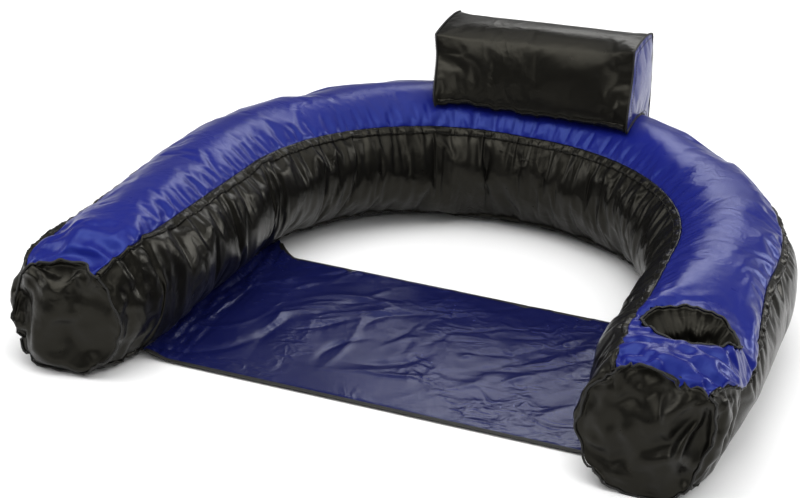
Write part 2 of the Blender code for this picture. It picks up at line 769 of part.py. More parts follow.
def zip_parts(collection, cutters, looks):
    frame = zip_frame()
    stations = [arm_station(-1, stop) for stop in (ZIP_START, ZIP_START + ZIP_LENGTH)][::-1]
    middle = (ZIP_TAPE_WIDTH + ZIP_TAPE_SLIT) / 2
    for name, centre in (("zip_tape_upper", -middle), ("zip_tape_lower", middle)):
        tube_strip(name, stations, OUTER_BOTTOM, centre, ZIP_TAPE_WIDTH, TAPE_LIFT, TAPE_WALL,
                   collection, looks["black"])

    base = TAPE_LIFT + TAPE_WALL + GAP
    lift = Matrix.Translation((0, 0, base + TOOTH_HEIGHT / 2))
    for name, side, shift in (("zip_teeth_upper", 1, 0.0), ("zip_teeth_lower", -1, ZIP_PITCH / 2)):
        comb = outline_solid(name, comb_outline(side, shift), TOOTH_HEIGHT, collection, looks["zip"])
        comb.matrix_world = frame @ lift

    stop_length = 3 * MM
    for name, start in (("zip_stop_front", -stop_length - GAP), ("zip_stop_rear", ZIP_LENGTH + GAP)):
        low = (start, -SPINE_OUTER, base)
        high = (start + stop_length, SPINE_OUTER, base + TOOTH_HEIGHT)
        block = box(name, low, high, collection, looks["zip"])
        block.matrix_world = frame

    roof = base + TOOTH_HEIGHT + GAP
    inside = SPINE_OUTER + GAP
    outside = inside + SLIDER_WALL
    skirt = base + 0.1 * MM
    hood = [(-outside, skirt), (-outside, roof + SLIDER_WALL), (outside, roof + SLIDER_WALL),
            (outside, skirt), (inside, skirt), (inside, roof), (-inside, roof), (-inside, skirt)]
    slider = outline_solid("zip_slider", hood, SLIDER_LENGTH, collection, looks["metal"])
    slider.data.transform(Matrix(((0, 0, 1, 0), (1, 0, 0, 0), (0, 1, 0, 0), (0, 0, 0, 1))))
    slider.matrix_world = frame @ Matrix.Translation((SLIDER_AT, 0, 0))

    deck = roof + SLIDER_WALL
    pin = PULL_WALL / 2                     # half thickness of the pull's crossbar
    pin_swing = math.hypot(pin, pin)
    axis = deck + pin_swing + 0.15 * MM
    arch_in = pin_swing + 0.2 * MM
    arch_out = arch_in + 1.4 * MM
    crown = axis + pin_swing + 0.15 * MM
    sunk = deck - 0.4 * MM
    arch = [(-arch_out, sunk), (-arch_out, crown + 1.0 * MM), (arch_out, crown + 1.0 * MM),
            (arch_out, sunk), (arch_in, sunk), (arch_in, crown), (-arch_in, crown), (-arch_in, sunk)]
    bridge = outline_solid("slider_bridge", arch, 1.6 * MM, cutters)
    bridge.data.transform(Matrix(((1, 0, 0, 0), (0, 0, -1, 0), (0, 1, 0, 0), (0, 0, 0, 1))))
    bridge.matrix_world = slider.matrix_world
    boolean(slider, as_cutter(bridge), "UNION")

    pull = box("zip_pull", (-pin, -PULL_WIDTH / 2, -pin), (PULL_LENGTH, PULL_WIDTH / 2, pin),
               collection, looks["metal"])
    eye = box("pull_eye", (pin, -2 * MM, -2 * MM), (arch_out + 2 * MM, 2 * MM, 2 * MM), cutters)
    pull.matrix_world = slider.matrix_world @ Matrix.Translation((0, 0, axis))
    eye.matrix_world = pull.matrix_world
    boolean(pull, as_cutter(eye))


# ---------------------------------------------------------------- the whole float

def build():
    clear_scene()
    parts = new_collection("inflatable_pool_float")
    cutters = new_collection("cutters")
    looks = {
        "blue": finish("blue_nylon", (0.014, 0.022, 0.21), 0.32),
        "black": finish("black_nylon", (0.012, 0.012, 0.011), 0.35),
        "seat": finish("seat_nylon", (0.010, 0.014, 0.10), 0.38),
        "vinyl": finish("valve_vinyl", (0.05, 0.05, 0.055), 0.4),
        "clear": finish("flap_vinyl", (0.35, 0.38, 0.40), 0.3),
        "bladder": finish("bladder_vinyl", (0.20, 0.24, 0.30), 0.35),
        "zip": finish("zip_plastic", (0.02, 0.02, 0.02), 0.45),
        "metal": finish("slider_metal", (0.05, 0.05, 0.05), 0.35, 0.9),
    }

    top = cover_panel("cover_top_panel", INNER_TOP, OUTER_TOP, parts, looks["blue"])
    boolean(top, oval_cutter("cup_hole", CUP_WALL + CUP_HOLE_CLEAR, CUP_DEPTH, cutters))
    cover_panel("cover_inner_panel", INNER_BOTTOM, INNER_TOP, parts, looks["black"])
    outer = cover_panel("cover_outer_panel", OUTER_TOP, OUTER_BOTTOM, parts, looks["black"])
    window = cylinder("main_valve_window", VALVE_WINDOW_RADIUS, CUTTER_REACH,
                      facing_back(main_valve_seat()), cutters)
    boolean(outer, as_cutter(window))
    bottom_panel(parts, looks["black"])

    full = whole_run(TAPE_START)
    to_zip = whole_run(TAPE_START, ZIP_START + ZIP_LENGTH + 6 * MM)
    for name, stations, seam in (("seam_tape_inner_top", full, INNER_TOP),
                                 ("seam_tape_inner_bottom", full, INNER_BOTTOM),
                                 ("seam_tape_outer_top", full, OUTER_TOP),
                                 ("seam_tape_outer_bottom", to_zip, OUTER_BOTTOM)):
        tube_strip(name, stations, seam, 0.0, TAPE_WIDTH, TAPE_LIFT, TAPE_WALL, parts, looks["black"])

    for word, side in (("right", 1), ("left", -1)):
        end_cap("end_cap_" + word, side, parts, looks["black"])
        end_piping("end_cap_piping_" + word, side, parts, looks["black"])
        headrest_end("headrest_end_" + word, side, parts, looks["blue"])
        headrest_piping("headrest_piping_" + word, side, parts, looks["black"])

    seat_panel(parts, looks["seat"])
    seat_binding("seat_binding_front", 0.0, 1, parts, looks["black"])
    seat_binding("seat_binding_rear", 1.0, -1, parts, looks["black"])
    cup_pocket(parts, looks["black"])
    cup_binding(parts, looks["black"])
    main_bladder(parts, cutters, looks["bladder"])
    headrest_wrap(parts, cutters, looks["black"])
    headrest_bladder(parts, cutters, looks["bladder"])
    headrest_hinge_strip(parts, looks["black"])
    valve("main", main_valve_seat(), parts, cutters, looks)
    valve("headrest", headrest_valve_seat(), parts, cutters, looks)
    zip_parts(parts, cutters, looks)


build()
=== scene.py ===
import math

import bmesh
import bpy
import numpy as np
from mathutils import Matrix, Vector, noise
from mathutils.bvhtree import BVHTree


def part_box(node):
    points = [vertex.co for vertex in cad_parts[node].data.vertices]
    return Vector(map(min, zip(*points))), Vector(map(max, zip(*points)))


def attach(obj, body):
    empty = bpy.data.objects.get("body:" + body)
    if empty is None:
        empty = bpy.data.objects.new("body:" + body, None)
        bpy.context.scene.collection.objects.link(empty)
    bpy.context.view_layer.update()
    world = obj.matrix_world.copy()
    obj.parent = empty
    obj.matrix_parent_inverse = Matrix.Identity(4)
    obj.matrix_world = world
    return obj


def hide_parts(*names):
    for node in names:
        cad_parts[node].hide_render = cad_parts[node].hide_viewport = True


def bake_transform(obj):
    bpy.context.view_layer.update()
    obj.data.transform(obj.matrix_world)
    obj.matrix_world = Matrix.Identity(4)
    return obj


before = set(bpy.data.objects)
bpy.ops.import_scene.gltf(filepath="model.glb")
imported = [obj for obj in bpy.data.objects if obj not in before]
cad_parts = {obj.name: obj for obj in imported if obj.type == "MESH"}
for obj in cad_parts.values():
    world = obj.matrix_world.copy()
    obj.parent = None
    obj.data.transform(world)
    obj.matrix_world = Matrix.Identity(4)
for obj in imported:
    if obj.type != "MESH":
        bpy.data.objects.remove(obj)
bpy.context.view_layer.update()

scene = bpy.context.scene
print("frame loaded,", len(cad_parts), "nodes")


# the camera and the studio

studio = {
    "eye": (0.7085, -2.5870, 1.1419),
    "lookAt": (-0.0548, -0.1168, 0.1072),
    "roll": 0.0834,
    "lens": 94.7,
    "sensor": 36.0,
    "floorSize": 14.0,
    "floorColour": (0.86, 0.86, 0.86),
    "skyColour": (1.0, 1.0, 1.0),
    "skyLight": 0.22,
    "sun": {"turn": (0.18, 0.12, 0), "strength": 2.3, "spread": 1.5},   # a wide, soft one
    # name: (place, aimed at, size, watts, tint)
    "lamps": {
        "overhead": ((-0.2, -0.7, 2.3), (0, -0.1, 0.1), (2.2, 1.2), 26, (1.0, 1.0, 1.0)),
        "leftWall": ((-2.6, -0.8, 1.2), (0, 0, 0.1), (1.5, 1.3), 26, (1.0, 1.0, 1.0)),
        "rightBack": ((2.2, 1.7, 1.5), (0.3, 0.1, 0.1), (1.0, 0.8), 30, (1.0, 1.0, 1.0)),
        "rear": ((-0.1, 2.1, 1.4), (-0.1, 0, 0.1), (1.3, 0.6), 10, (1.0, 1.0, 1.0)),
        "front": ((0.9, -3.0, 1.6), (0.1, -0.3, 0.1), (1.2, 0.8), 15, (1.0, 1.0, 1.0)),
    },
}


def aim(piece, target, roll=0.0):
    facing = (Vector(target) - piece.location).to_track_quat("-Z", "Y").to_matrix().to_4x4()
    piece.matrix_world = Matrix.Translation(piece.location) @ facing @ Matrix.Rotation(roll, 4, "Z")


def makeStudio():
    cameraData = bpy.data.cameras.new("camera")
    cameraData.lens = studio["lens"]
    cameraData.sensor_width = studio["sensor"]
    camera = bpy.data.objects.new("camera", cameraData)
    scene.collection.objects.link(camera)
    camera.location = studio["eye"]
    aim(camera, studio["lookAt"], studio["roll"])
    scene.camera = camera

    bpy.ops.object.select_all(action="DESELECT")
    bpy.ops.mesh.primitive_plane_add(size=studio["floorSize"], location=(0, 0, 0))
    floor = bpy.context.object
    floor.name = "floor"
    floorLook = bpy.data.materials.new("floorPaper")
    floorLook.use_nodes = True
    shader = floorLook.node_tree.nodes["Principled BSDF"]
    shader.inputs["Base Color"].default_value = (*studio["floorColour"], 1)
    shader.inputs["Roughness"].default_value = 0.7
    shader.inputs["Specular IOR Level"].default_value = 0.1
    floor.data.materials.append(floorLook)

    for name, (place, target, size, watts, tint) in studio["lamps"].items():
        data = bpy.data.lights.new(name, "AREA")
        data.shape = "RECTANGLE"
        data.size, data.size_y = size
        data.energy = watts
        data.color = tint
        lamp = bpy.data.objects.new(name, data)
        scene.collection.objects.link(lamp)
        lamp.location = place
        aim(lamp, target)

    data = bpy.data.lights.new("sun", "SUN")
    data.energy = studio["sun"]["strength"]
    data.angle = studio["sun"]["spread"]
    lamp = bpy.data.objects.new("sun", data)
    lamp.rotation_euler = studio["sun"]["turn"]
    scene.collection.objects.link(lamp)

    sky = bpy.data.worlds.new("sky")
    sky.use_nodes = True
    nodes, links = sky.node_tree.nodes, sky.node_tree.links
    fill = nodes["Background"]
    seen = nodes.new("ShaderNodeBackground")
    mix = nodes.new("ShaderNodeMixShader")
    path = nodes.new("ShaderNodeLightPath")
    fill.inputs["Color"].default_value = (*studio["skyColour"], 1)
    fill.inputs["Strength"].default_value = studio["skyLight"]
    seen.inputs["Strength"].default_value = 1.0
    seen.inputs["Color"].default_value = (1, 1, 1, 1)
    links.new(path.outputs["Is Camera Ray"], mix.inputs["Fac"])
    links.new(fill.outputs[0], mix.inputs[1])
    links.new(seen.outputs[0], mix.inputs[2])
    links.new(mix.outputs[0], nodes["World Output"].inputs["Surface"])
    scene.world = sky
    scene.view_settings.view_transform = "Standard"


makeStudio()
print("studio ready")


# shader groups that several finishes share

def newGroup(name, inputs, outputs):
    # inputs are (name, kind, value), outputs are (name, kind)
    group = bpy.data.node_groups.new(name, "ShaderNodeTree")
    for label, kind, value in inputs:
        socket = group.interface.new_socket(name=label, in_out="INPUT", socket_type="NodeSocket" + kind)
        if value is not None:
            socket.default_value = value
    for label, kind in outputs:
        group.interface.new_socket(name=label, in_out="OUTPUT", socket_type="NodeSocket" + kind)
    start, end = group.nodes.new("NodeGroupInput"), group.nodes.new("NodeGroupOutput")
    return group, start, end


def mathNode(tree, operation, first, second=None, clamp=False):
    node = tree.nodes.new("ShaderNodeMath")
    node.operation = operation
    node.use_clamp = clamp
    for socket, value in zip(node.inputs, (first, second)):
        if value is None:
            continue
        if isinstance(value, (int, float)):
            socket.default_value = value
        else:
            tree.links.new(value, socket)
    return node.outputs[0]


def aboveLevel(tree, value, level, gain):
    # 0 up to the level, then rising to 1
    return mathNode(tree, "MULTIPLY", mathNode(tree, "SUBTRACT", value, level), gain, clamp=True)


def weaveGroup():
    # plain weave from a cloth map in metres: threads over and under, with a faint slub
    group, start, end = newGroup(
        "plainWeave",
        [("Map", "Vector", None), ("Threads", "Float", 1500.0), ("Slub", "Float", 0.3)],
        [("Height", "Float"), ("Shade", "Float")])
    split = group.nodes.new("ShaderNodeSeparateXYZ")
    group.links.new(start.outputs["Map"], split.inputs[0])
    turns = mathNode(group, "MULTIPLY", start.outputs["Threads"], 2 * math.pi)
    waves = []
    for axis in ("X", "Y"):
        angle = mathNode(group, "MULTIPLY", split.outputs[axis], turns)
        waves.append(mathNode(group, "SINE", angle))
    product = mathNode(group, "MULTIPLY", waves[0], waves[1])
    height = mathNode(group, "MULTIPLY_ADD", product, 0.5)
    group.nodes[-1].inputs[2].default_value = 0.5
    slub = group.nodes.new("ShaderNodeTexNoise")
    slub.inputs["Scale"].default_value = 60.0
    slub.inputs["Detail"].default_value = 3.0
    group.links.new(start.outputs["Map"], slub.inputs["Vector"])
    uneven = mathNode(group, "MULTIPLY", slub.outputs["Fac"], start.outputs["Slub"])
    group.links.new(mathNode(group, "ADD", height, uneven), end.inputs["Height"])
    group.links.new(slub.outputs["Fac"], end.inputs["Shade"])
    return group


def creaseGroup():
    # fine creases of a coated cloth: thin ridges where a noise crosses its middle value
    group, start, end = newGroup(
        "fineCreases",
        [("Place", "Vector", None), ("Scale", "Float", 20.0),
         ("Sharpness", "Float", 6.0), ("Wander", "Float", 0.5)],
        [("Height", "Float"), ("Mask", "Float")])
    field = group.nodes.new("ShaderNodeTexNoise")
    field.inputs["Detail"].default_value = 2.0
    group.links.new(start.outputs["Place"], field.inputs["Vector"])
    group.links.new(start.outputs["Scale"], field.inputs["Scale"])
    group.links.new(start.outputs["Wander"], field.inputs["Distortion"])
    off = mathNode(group, "ABSOLUTE", mathNode(group, "SUBTRACT", field.outputs["Fac"], 0.5))
    slope = mathNode(group, "MULTIPLY", off, start.outputs["Sharpness"])
    ridge = mathNode(group, "SUBTRACT", 1.0, slope, clamp=True)
    swell = group.nodes.new("ShaderNodeTexNoise")
    swell.inputs["Detail"].default_value = 1.0
    group.links.new(start.outputs["Place"], swell.inputs["Vector"])
    group.links.new(mathNode(group, "MULTIPLY", start.outputs["Scale"], 0.31), swell.inputs["Scale"])
    mask = aboveLevel(group, swell.outputs["Fac"], 0.42, 5.0)
    group.links.new(mathNode(group, "MULTIPLY", ridge, mask), end.inputs["Height"])
    group.links.new(mask, end.inputs["Mask"])
    return group


def dustGroup():
    # uneven handling marks and dust that lift the roughness and pale the colour a little
    group, start, end = newGroup(
        "handling",
        [("Place", "Vector", None), ("Scale", "Float", 9.0), ("Amount", "Float", 0.5)],
        [("Dust", "Float"), ("Blotch", "Float")])
    broad, fine = group.nodes.new("ShaderNodeTexNoise"), group.nodes.new("ShaderNodeTexNoise")
    for node, factor, detail in ((broad, 1.0, 3.0), (fine, 14.0, 5.0)):
        group.links.new(start.outputs["Place"], node.inputs["Vector"])
        group.links.new(mathNode(group, "MULTIPLY", start.outputs["Scale"], factor), node.inputs["Scale"])
        node.inputs["Detail"].default_value = detail
    speck = aboveLevel(group, fine.outputs["Fac"], 0.55, 3.0)
    patch = aboveLevel(group, broad.outputs["Fac"], 0.4, 2.5)
    dust = mathNode(group, "MULTIPLY", mathNode(group, "MULTIPLY", speck, patch), start.outputs["Amount"])
    group.links.new(dust, end.inputs["Dust"])
    group.links.new(broad.outputs["Fac"], end.inputs["Blotch"])
    return group


weave, creases, handling = weaveGroup(), creaseGroup(), dustGroup()


# finishes

def startLook(name, roughness, specular, metallic=0.0):
    look = bpy.data.materials.new(name)
    look.use_nodes = True
    tree = look.node_tree
    shader = tree.nodes["Principled BSDF"]
    shader.inputs["Roughness"].default_value = roughness
    shader.inputs["Specular IOR Level"].default_value = specular
    shader.inputs["Metallic"].default_value = metallic
    return look, tree, shader


def useGroup(tree, group, **values):
    node = tree.nodes.new("ShaderNodeGroup")
    node.node_tree = group
    for label, value in values.items():
        if isinstance(value, (int, float)):
            node.inputs[label].default_value = value
        else:
            tree.links.new(value, node.inputs[label])
    return node


def shadeBetween(tree, factor, dark, light):
    # dark and light are colours or sockets
    ramp = tree.nodes.new("ShaderNodeMix")
    ramp.data_type = "RGBA"
    tree.links.new(factor, ramp.inputs["Factor"])
    for socket, colour in ((ramp.inputs[6], dark), (ramp.inputs[7], light)):
        if isinstance(colour, tuple):
            socket.default_value = (*colour, 1)
        else:
            tree.links.new(colour, socket)
    return ramp.outputs[2]


def bumpFrom(tree, shader, layers):
    # layers are (height socket, distance in metres, strength); each bump feeds the next
    normal = None
    for height, distance, strength in layers:
        bump = tree.nodes.new("ShaderNodeBump")
        bump.inputs["Distance"].default_value = distance
        bump.inputs["Strength"].default_value = strength
        tree.links.new(height, bump.inputs["Height"])
        if normal:
            tree.links.new(normal, bump.inputs["Normal"])
        normal = bump.outputs["Normal"]
    tree.links.new(normal, shader.inputs["Normal"])


def clothLook(name, dark, light, roughness, specular, threads=1500.0, creaseDepth=0.0006,
              creaseScale=38.0, tint=None, dust=0.25):
    # coated nylon: weave, fine creases, uneven dye and dust
    look, tree, shader = startLook(name, roughness, specular)
    if tint:
        shader.inputs["Specular Tint"].default_value = (*tint, 1)
    clothMap = tree.nodes.new("ShaderNodeUVMap")
    clothMap.uv_map = "cloth"
    place = tree.nodes.new("ShaderNodeTexCoord").outputs["Object"]
    threadsNode = useGroup(tree, weave, Map=clothMap.outputs[0], Threads=threads)
    fine = useGroup(tree, creases, Place=place, Scale=creaseScale)
    broad = useGroup(tree, creases, Place=place, Scale=creaseScale * 0.4, Sharpness=4.0)
    marks = useGroup(tree, handling, Place=place, Amount=dust)
    dyed = shadeBetween(tree, marks.outputs["Blotch"], dark, light)
    pale = tuple(0.75 * value + 0.05 for value in light)
    tree.links.new(shadeBetween(tree, marks.outputs["Dust"], dyed, pale), shader.inputs["Base Color"])
    rough = mathNode(tree, "MULTIPLY", marks.outputs["Dust"], 0.35)
    rough = mathNode(tree, "ADD", rough, roughness)
    uneven = mathNode(tree, "MULTIPLY", threadsNode.outputs["Shade"], 0.08)
    tree.links.new(mathNode(tree, "ADD", rough, uneven), shader.inputs["Roughness"])
    bumpFrom(tree, shader, [
        (broad.outputs["Height"], creaseDepth * 1.6, 0.7),
        (fine.outputs["Height"], creaseDepth, 0.7),
        (threadsNode.outputs["Height"], 0.00006, 0.35)])
    return look


def plasticLook(name, dark, light, roughness, metallic=0.0, grain=0.00012):
    # moulded or cast pieces: a fine grain, handling marks and uneven colour
    look, tree, shader = startLook(name, roughness, 0.45, metallic)
    place = tree.nodes.new("ShaderNodeTexCoord").outputs["Object"]
    marks = useGroup(tree, handling, Place=place, Scale=30.0, Amount=0.4)
    tree.links.new(shadeBetween(tree, marks.outputs["Blotch"], dark, light), shader.inputs["Base Color"])
    rough = mathNode(tree, "MULTIPLY", marks.outputs["Dust"], 0.4)
    tree.links.new(mathNode(tree, "ADD", rough, roughness), shader.inputs["Roughness"])
    pits = tree.nodes.new("ShaderNodeTexNoise")
    pits.inputs["Scale"].default_value = 900.0
    tree.links.new(place, pits.inputs["Vector"])
    bumpFrom(tree, shader, [(pits.outputs["Fac"], grain, 0.4)])
    return look


looks = {
    "blueNylon": clothLook("blueNylon", (0.0045, 0.0070, 0.105), (0.0075, 0.0120, 0.160), 0.25, 0.36,
                           creaseDepth=0.0004, tint=(0.28, 0.42, 1.0)),
    "blackNylon": clothLook("blackNylon", (0.0022, 0.0021, 0.0018), (0.0046, 0.0043, 0.0037), 0.25, 0.19,
                            tint=(1.0, 0.95, 0.78)),
    "seatNylon": clothLook("seatNylon", (0.0030, 0.0042, 0.036), (0.0055, 0.0075, 0.060), 0.21, 0.32,
                           creaseDepth=0.0014, creaseScale=26.0, tint=(0.4, 0.5, 1.0)),
    "binding": clothLook("binding", (0.005, 0.005, 0.0045), (0.011, 0.0105, 0.009), 0.5, 0.3,
                         threads=700.0, creaseDepth=0.0002),
    "bladderVinyl": plasticLook("bladderVinyl", (0.16, 0.20, 0.26), (0.22, 0.26, 0.32), 0.26),
    "valveVinyl": plasticLook("valveVinyl", (0.035, 0.035, 0.039), (0.060, 0.060, 0.066), 0.34),
    "flapVinyl": plasticLook("flapVinyl", (0.30, 0.33, 0.35), (0.39, 0.42, 0.44), 0.28),
    "zipPlastic": plasticLook("zipPlastic", (0.012, 0.012, 0.012), (0.026, 0.026, 0.025), 0.42),
    "sliderMetal": plasticLook("sliderMetal", (0.035, 0.035, 0.035), (0.060, 0.060, 0.060), 0.30,
                               metallic=0.4),
}


# the tube that the cover is sewn round, from the right arm's end to the left arm's end

capLow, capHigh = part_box("end_cap_right")
tube = {
    "armLength": 0.400,       # straight part of an arm
    "backDepth": 0.412,       # depth of the half ellipse along the centreline
    "radiusBack": 0.101,
    "endTuck": 0.0055,        # how much the tube draws in at its very ends
    "tuckLength": 0.030,
    "bulge": 0.020,           # how far an end cap domes out
    "flatAngle": 15,          # half the angle of the flat underside
    # how far each soft end is drawn out of line: reach, shift in x and y, loss of radius
    "ends": {"right": (0.07, -0.003, 0.0, 0.003), "left": (0.062, -0.012, -0.016, 0.0095)},
}
armSpacing = (capLow.x + capHigh.x) / 2
radiusEnd = (capHigh.x - capLow.x) / 2 + tube["endTuck"]
frontY = capLow.y + tube["bulge"]
bendY = frontY + tube["armLength"]
turnTable = np.linspace(0, math.pi, 3001)
ellipse = np.stack([armSpacing * np.cos(turnTable), tube["backDepth"] * np.sin(turnTable)], 1)
stepLengths = np.linalg.norm(np.diff(ellipse, axis=0), axis=1)
alongTable = tube["armLength"] + np.concatenate([[0], np.cumsum(stepLengths)])
runLength = alongTable[-1] + tube["armLength"]


def stations(distance):
    # centre x, y, inward x, y, radius, height and share of the sections at these distances
    turn = np.interp(distance, alongTable, turnTable)
    before = np.minimum(distance, tube["armLength"]) - tube["armLength"]
    after = np.maximum(distance - alongTable[-1], 0)
    x = armSpacing * np.cos(turn)
    y = bendY + tube["backDepth"] * np.sin(turn) + before - after
    inX, inY = -tube["backDepth"] * np.cos(turn), -armSpacing * np.sin(turn)
    size = np.hypot(inX, inY)
    nearEnd = np.minimum(distance, runLength - distance)
    share = 1 - nearEnd / (runLength / 2)
    full = tube["radiusBack"] + (radiusEnd - tube["radiusBack"]) * share
    tuck = np.clip(1 - nearEnd / tube["tuckLength"], 0, 1)
    radius = full - tube["endTuck"] * tuck ** 2
    for side, gap in (("right", distance), ("left", runLength - distance)):
        reach, shiftX, shiftY, taper = tube["ends"][side]
        drawn = smoothStep(reach, 0, gap)
        x, y = x + shiftX * drawn, y + shiftY * drawn
        radius, full = radius - taper * drawn, full - taper * drawn
    height = full * math.cos(math.radians(tube["flatAngle"]))
    return x, y, inX / size, inY / size, radius, height, share


def skin(distance, angle, lift=0.0):
    # points on the tube; 0 degrees points into the U, 90 up, 180 out and 270 down
    x, y, inX, inY, radius, height, _ = stations(distance)
    reach = (radius + lift) * np.cos(np.radians(angle))
    rise = (radius + lift) * np.sin(np.radians(angle))
    return np.stack([x + inX * reach, y + inY * reach, np.maximum(height + rise, 0.0004)], -1)


def smoothStep(low, high, value):
    share = np.clip((value - low) / (high - low), 0, 1)
    return share * share * (3 - 2 * share)


def ripple(first, second, seed):
    # smooth noise from -1 to 1 over two arrays of places
    shape = np.broadcast(first, second).shape
    firstFlat = np.broadcast_to(first, shape).ravel()
    secondFlat = np.broadcast_to(second, shape).ravel()
    values = [noise.noise(Vector((a, b, seed))) for a, b in zip(firstFlat, secondFlat)]
    return np.array(values).reshape(shape)


# the cover: one closed skin is inflated, then cut along its seams into panels

cover = {
    "rows": 440,
    "columns": {"inner": 28, "top": 28, "outer": 28, "bottom": 12},   # round the tube, 96 in all
    "seams": {"innerBottom": (-55, -55), "innerTop": (34, 56), "outerTop": (138, 138),
              "outerBottom": (235, 235)},     # angle at the back, angle at the arm ends
    "shoulder": 21,           # how much lower the outer top seam runs beside the cup pocket
    # the tube is flatter round the cup: angle, width and rise of each swell
    "cupSwells": ((130, 20, 0.014), (92, 16, -0.006), (60, 14, 0.005)),
    "oversize": 0.085,        # how much longer the slack cloth is than the tube it covers
    "pressure": 5.0,
    "frames": 22,
    "travel": 0.011,          # the most that the cloth moves as it inflates
    "capTravel": 0.016,
    "wall": 0.0008,
    "seamTuck": 0.0022,       # a seam sits this far inside the swell on each side of it
    "seamRipple": 0.0009,
    "cupAlong": (0.125, 0.07),         # the cup's place along the arm, and the reach of its swells
    "creases": (0.0014, 0.0010),       # small folds before it is inflated, and more on the inner side
    # share of the slack on the inner side, at the blue seams, at both ends and at the right end
    "slack": (0.85, 0.75, 0.7, 0.9),
    "leastSlack": 0.06,
    "seamGathers": 16,        # degrees that the gathers reach from a blue seam
    "zipStill": (0.03, 0.34),          # the cloth lies flat between these places from the left end
    "valveStill": 0.030,      # and this near the valve
    "capRipple": 0.0015,
    "lowest": 0.0005,
}
capSide = sum(cover["columns"].values()) // 4


def seamAngle(name, along):
    back, end = cover["seams"][name]
    angle = back + (end - back) * stations(along)[6]
    if name == "outerTop":
        angle = angle + cover["shoulder"] * smoothStep(0, 0.11, along) * smoothStep(0.36, 0.14, along)
    return angle


def columnAngles(along):
    # angles of every column of the cover, for an array of distances
    corners = [seamAngle(name, along) for name in ("innerBottom", "innerTop", "outerTop", "outerBottom")]
    corners.append(corners[0] + 360)
    spans = []
    for index, panel in enumerate(("inner", "top", "outer", "bottom")):
        count = cover["columns"][panel]
        spans.append(corners[index][:, None] + (corners[index + 1] - corners[index])[:, None]
                     * np.arange(count)[None, :] / count)
    return np.concatenate(spans, 1)


flangeLow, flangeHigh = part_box("main_valve_flange")
window = {
    "centre": Vector(((flangeLow.x + flangeHigh.x) / 2, flangeHigh.y, (flangeLow.z + flangeHigh.z) / 2)),
    "radius": 0.020,
    "points": 72,
    "lift": 0.0008,           # its binding above the cloth
    "bindingWide": 0.0016,
    "bindingThick": 0.0012,
}


def valveGap(points):
    # distance from the valve for an array of points
    return np.linalg.norm(points - np.array(window["centre"]), axis=-1)


def capGrid():
    # a square grid bent to a disc: the radius and rim column of each of its points
    index = np.arange(capSide + 1)
    u, v = np.meshgrid(2 * index / capSide - 1, 2 * index / capSide - 1, indexing="ij")
    x, y = u * np.sqrt(1 - v ** 2 / 2), v * np.sqrt(1 - u ** 2 / 2)
    radius, turn = np.hypot(x, y), np.degrees(np.arctan2(y, x))
    border = [(i, 0) for i in range(capSide)] + [(capSide, j) for j in range(capSide)]
    border += [(capSide - i, capSide) for i in range(capSide)] + [(0, capSide - j) for j in range(capSide)]
    rimTurn = np.array([turn[i, j] for i, j in border])
    rimTurn = np.where(rimTurn < rimTurn[0] - 1e-6, rimTurn + 360, rimTurn)
    turn = np.where(turn < rimTurn[0] - 1e-6, turn + 360, turn)
    column = np.interp(turn, np.append(rimTurn, rimTurn[0] + 360), np.arange(len(border) + 1))
    return radius, column, border


def calmPlaces(distance, angle):
    # 1 where the cloth has to lie still: along the zip and round the valve
    fromFront = runLength - distance
    near, far = cover["zipStill"]
    zipWay = smoothStep(near, near + 0.02, fromFront) * smoothStep(far, far - 0.02, fromFront)
    zipWay = zipWay * smoothStep(30, 15, np.abs(angle - cover["seams"]["outerBottom"][0]))
    gap = valveGap(skin(distance, angle))
    return np.maximum(zipWay, smoothStep(cover["valveStill"] + 0.02, cover["valveStill"], gap))


def startShape():
    # the cover before it is inflated: its points, how firmly each is held and how slack it is
    distance = np.linspace(0, runLength, cover["rows"])[:, None]
    angle = columnAngles(distance[:, 0])
    nearEnd = np.minimum(distance, runLength - distance)
    seamAt = np.cumsum([0] + list(cover["columns"].values()))[:4]
    seamGap = np.min([np.abs(angle - seamAngle(name, distance[:, 0])[:, None])
                      for name in ("innerTop", "outerTop")], 0)
    inner = smoothStep(-60, -40, angle) * (1 - smoothStep(30, 50, angle))
    gathers = np.exp(-(seamGap / cover["seamGathers"]) ** 2)
    bothEnds = 1 - smoothStep(0.02, 0.09, nearEnd)
    rightEnd = 1 - smoothStep(0.10, 0.22, distance)
    rightEnd = rightEnd * smoothStep(40, 60, angle) * (1 - smoothStep(160, 200, angle))
    shares = zip(cover["slack"], (inner, gathers, bothEnds, rightEnd))
    slack = np.clip(sum(share * place for share, place in shares) + cover["leastSlack"], 0, 1)
    fine = ripple(distance * 62, angle * 0.018, 3.1) + 0.6 * ripple(distance * 118, angle * 0.02, 8.7)
    calm = calmPlaces(distance, angle)
    everywhere, innerMore = cover["creases"]
    lift = (everywhere + innerMore * inner) * slack * fine * (1 - calm)
    cupAt, cupReach = cover["cupAlong"]
    for middle, wide, rise in cover["cupSwells"]:
        lift += rise * np.exp(-((angle - middle) / wide) ** 2 - ((distance - cupAt) / cupReach) ** 2)
    hold = calm.copy()
    hold[:, seamAt] = 1
    free = 1 - calm[:, seamAt]
    waves = ripple(distance * 70, np.full((1, len(seamAt)), 5.0), 2.2)
    lift[:, seamAt] = -cover["seamTuck"] * free + free * cover["seamRipple"] * waves
    under = smoothStep(248, 254, angle) * (1 - smoothStep(286, 292, angle))    # it lies on the floor here
    hold = np.maximum(hold, under)
    points = skin(distance, angle, lift)
    return points, hold, slack, distance, angle


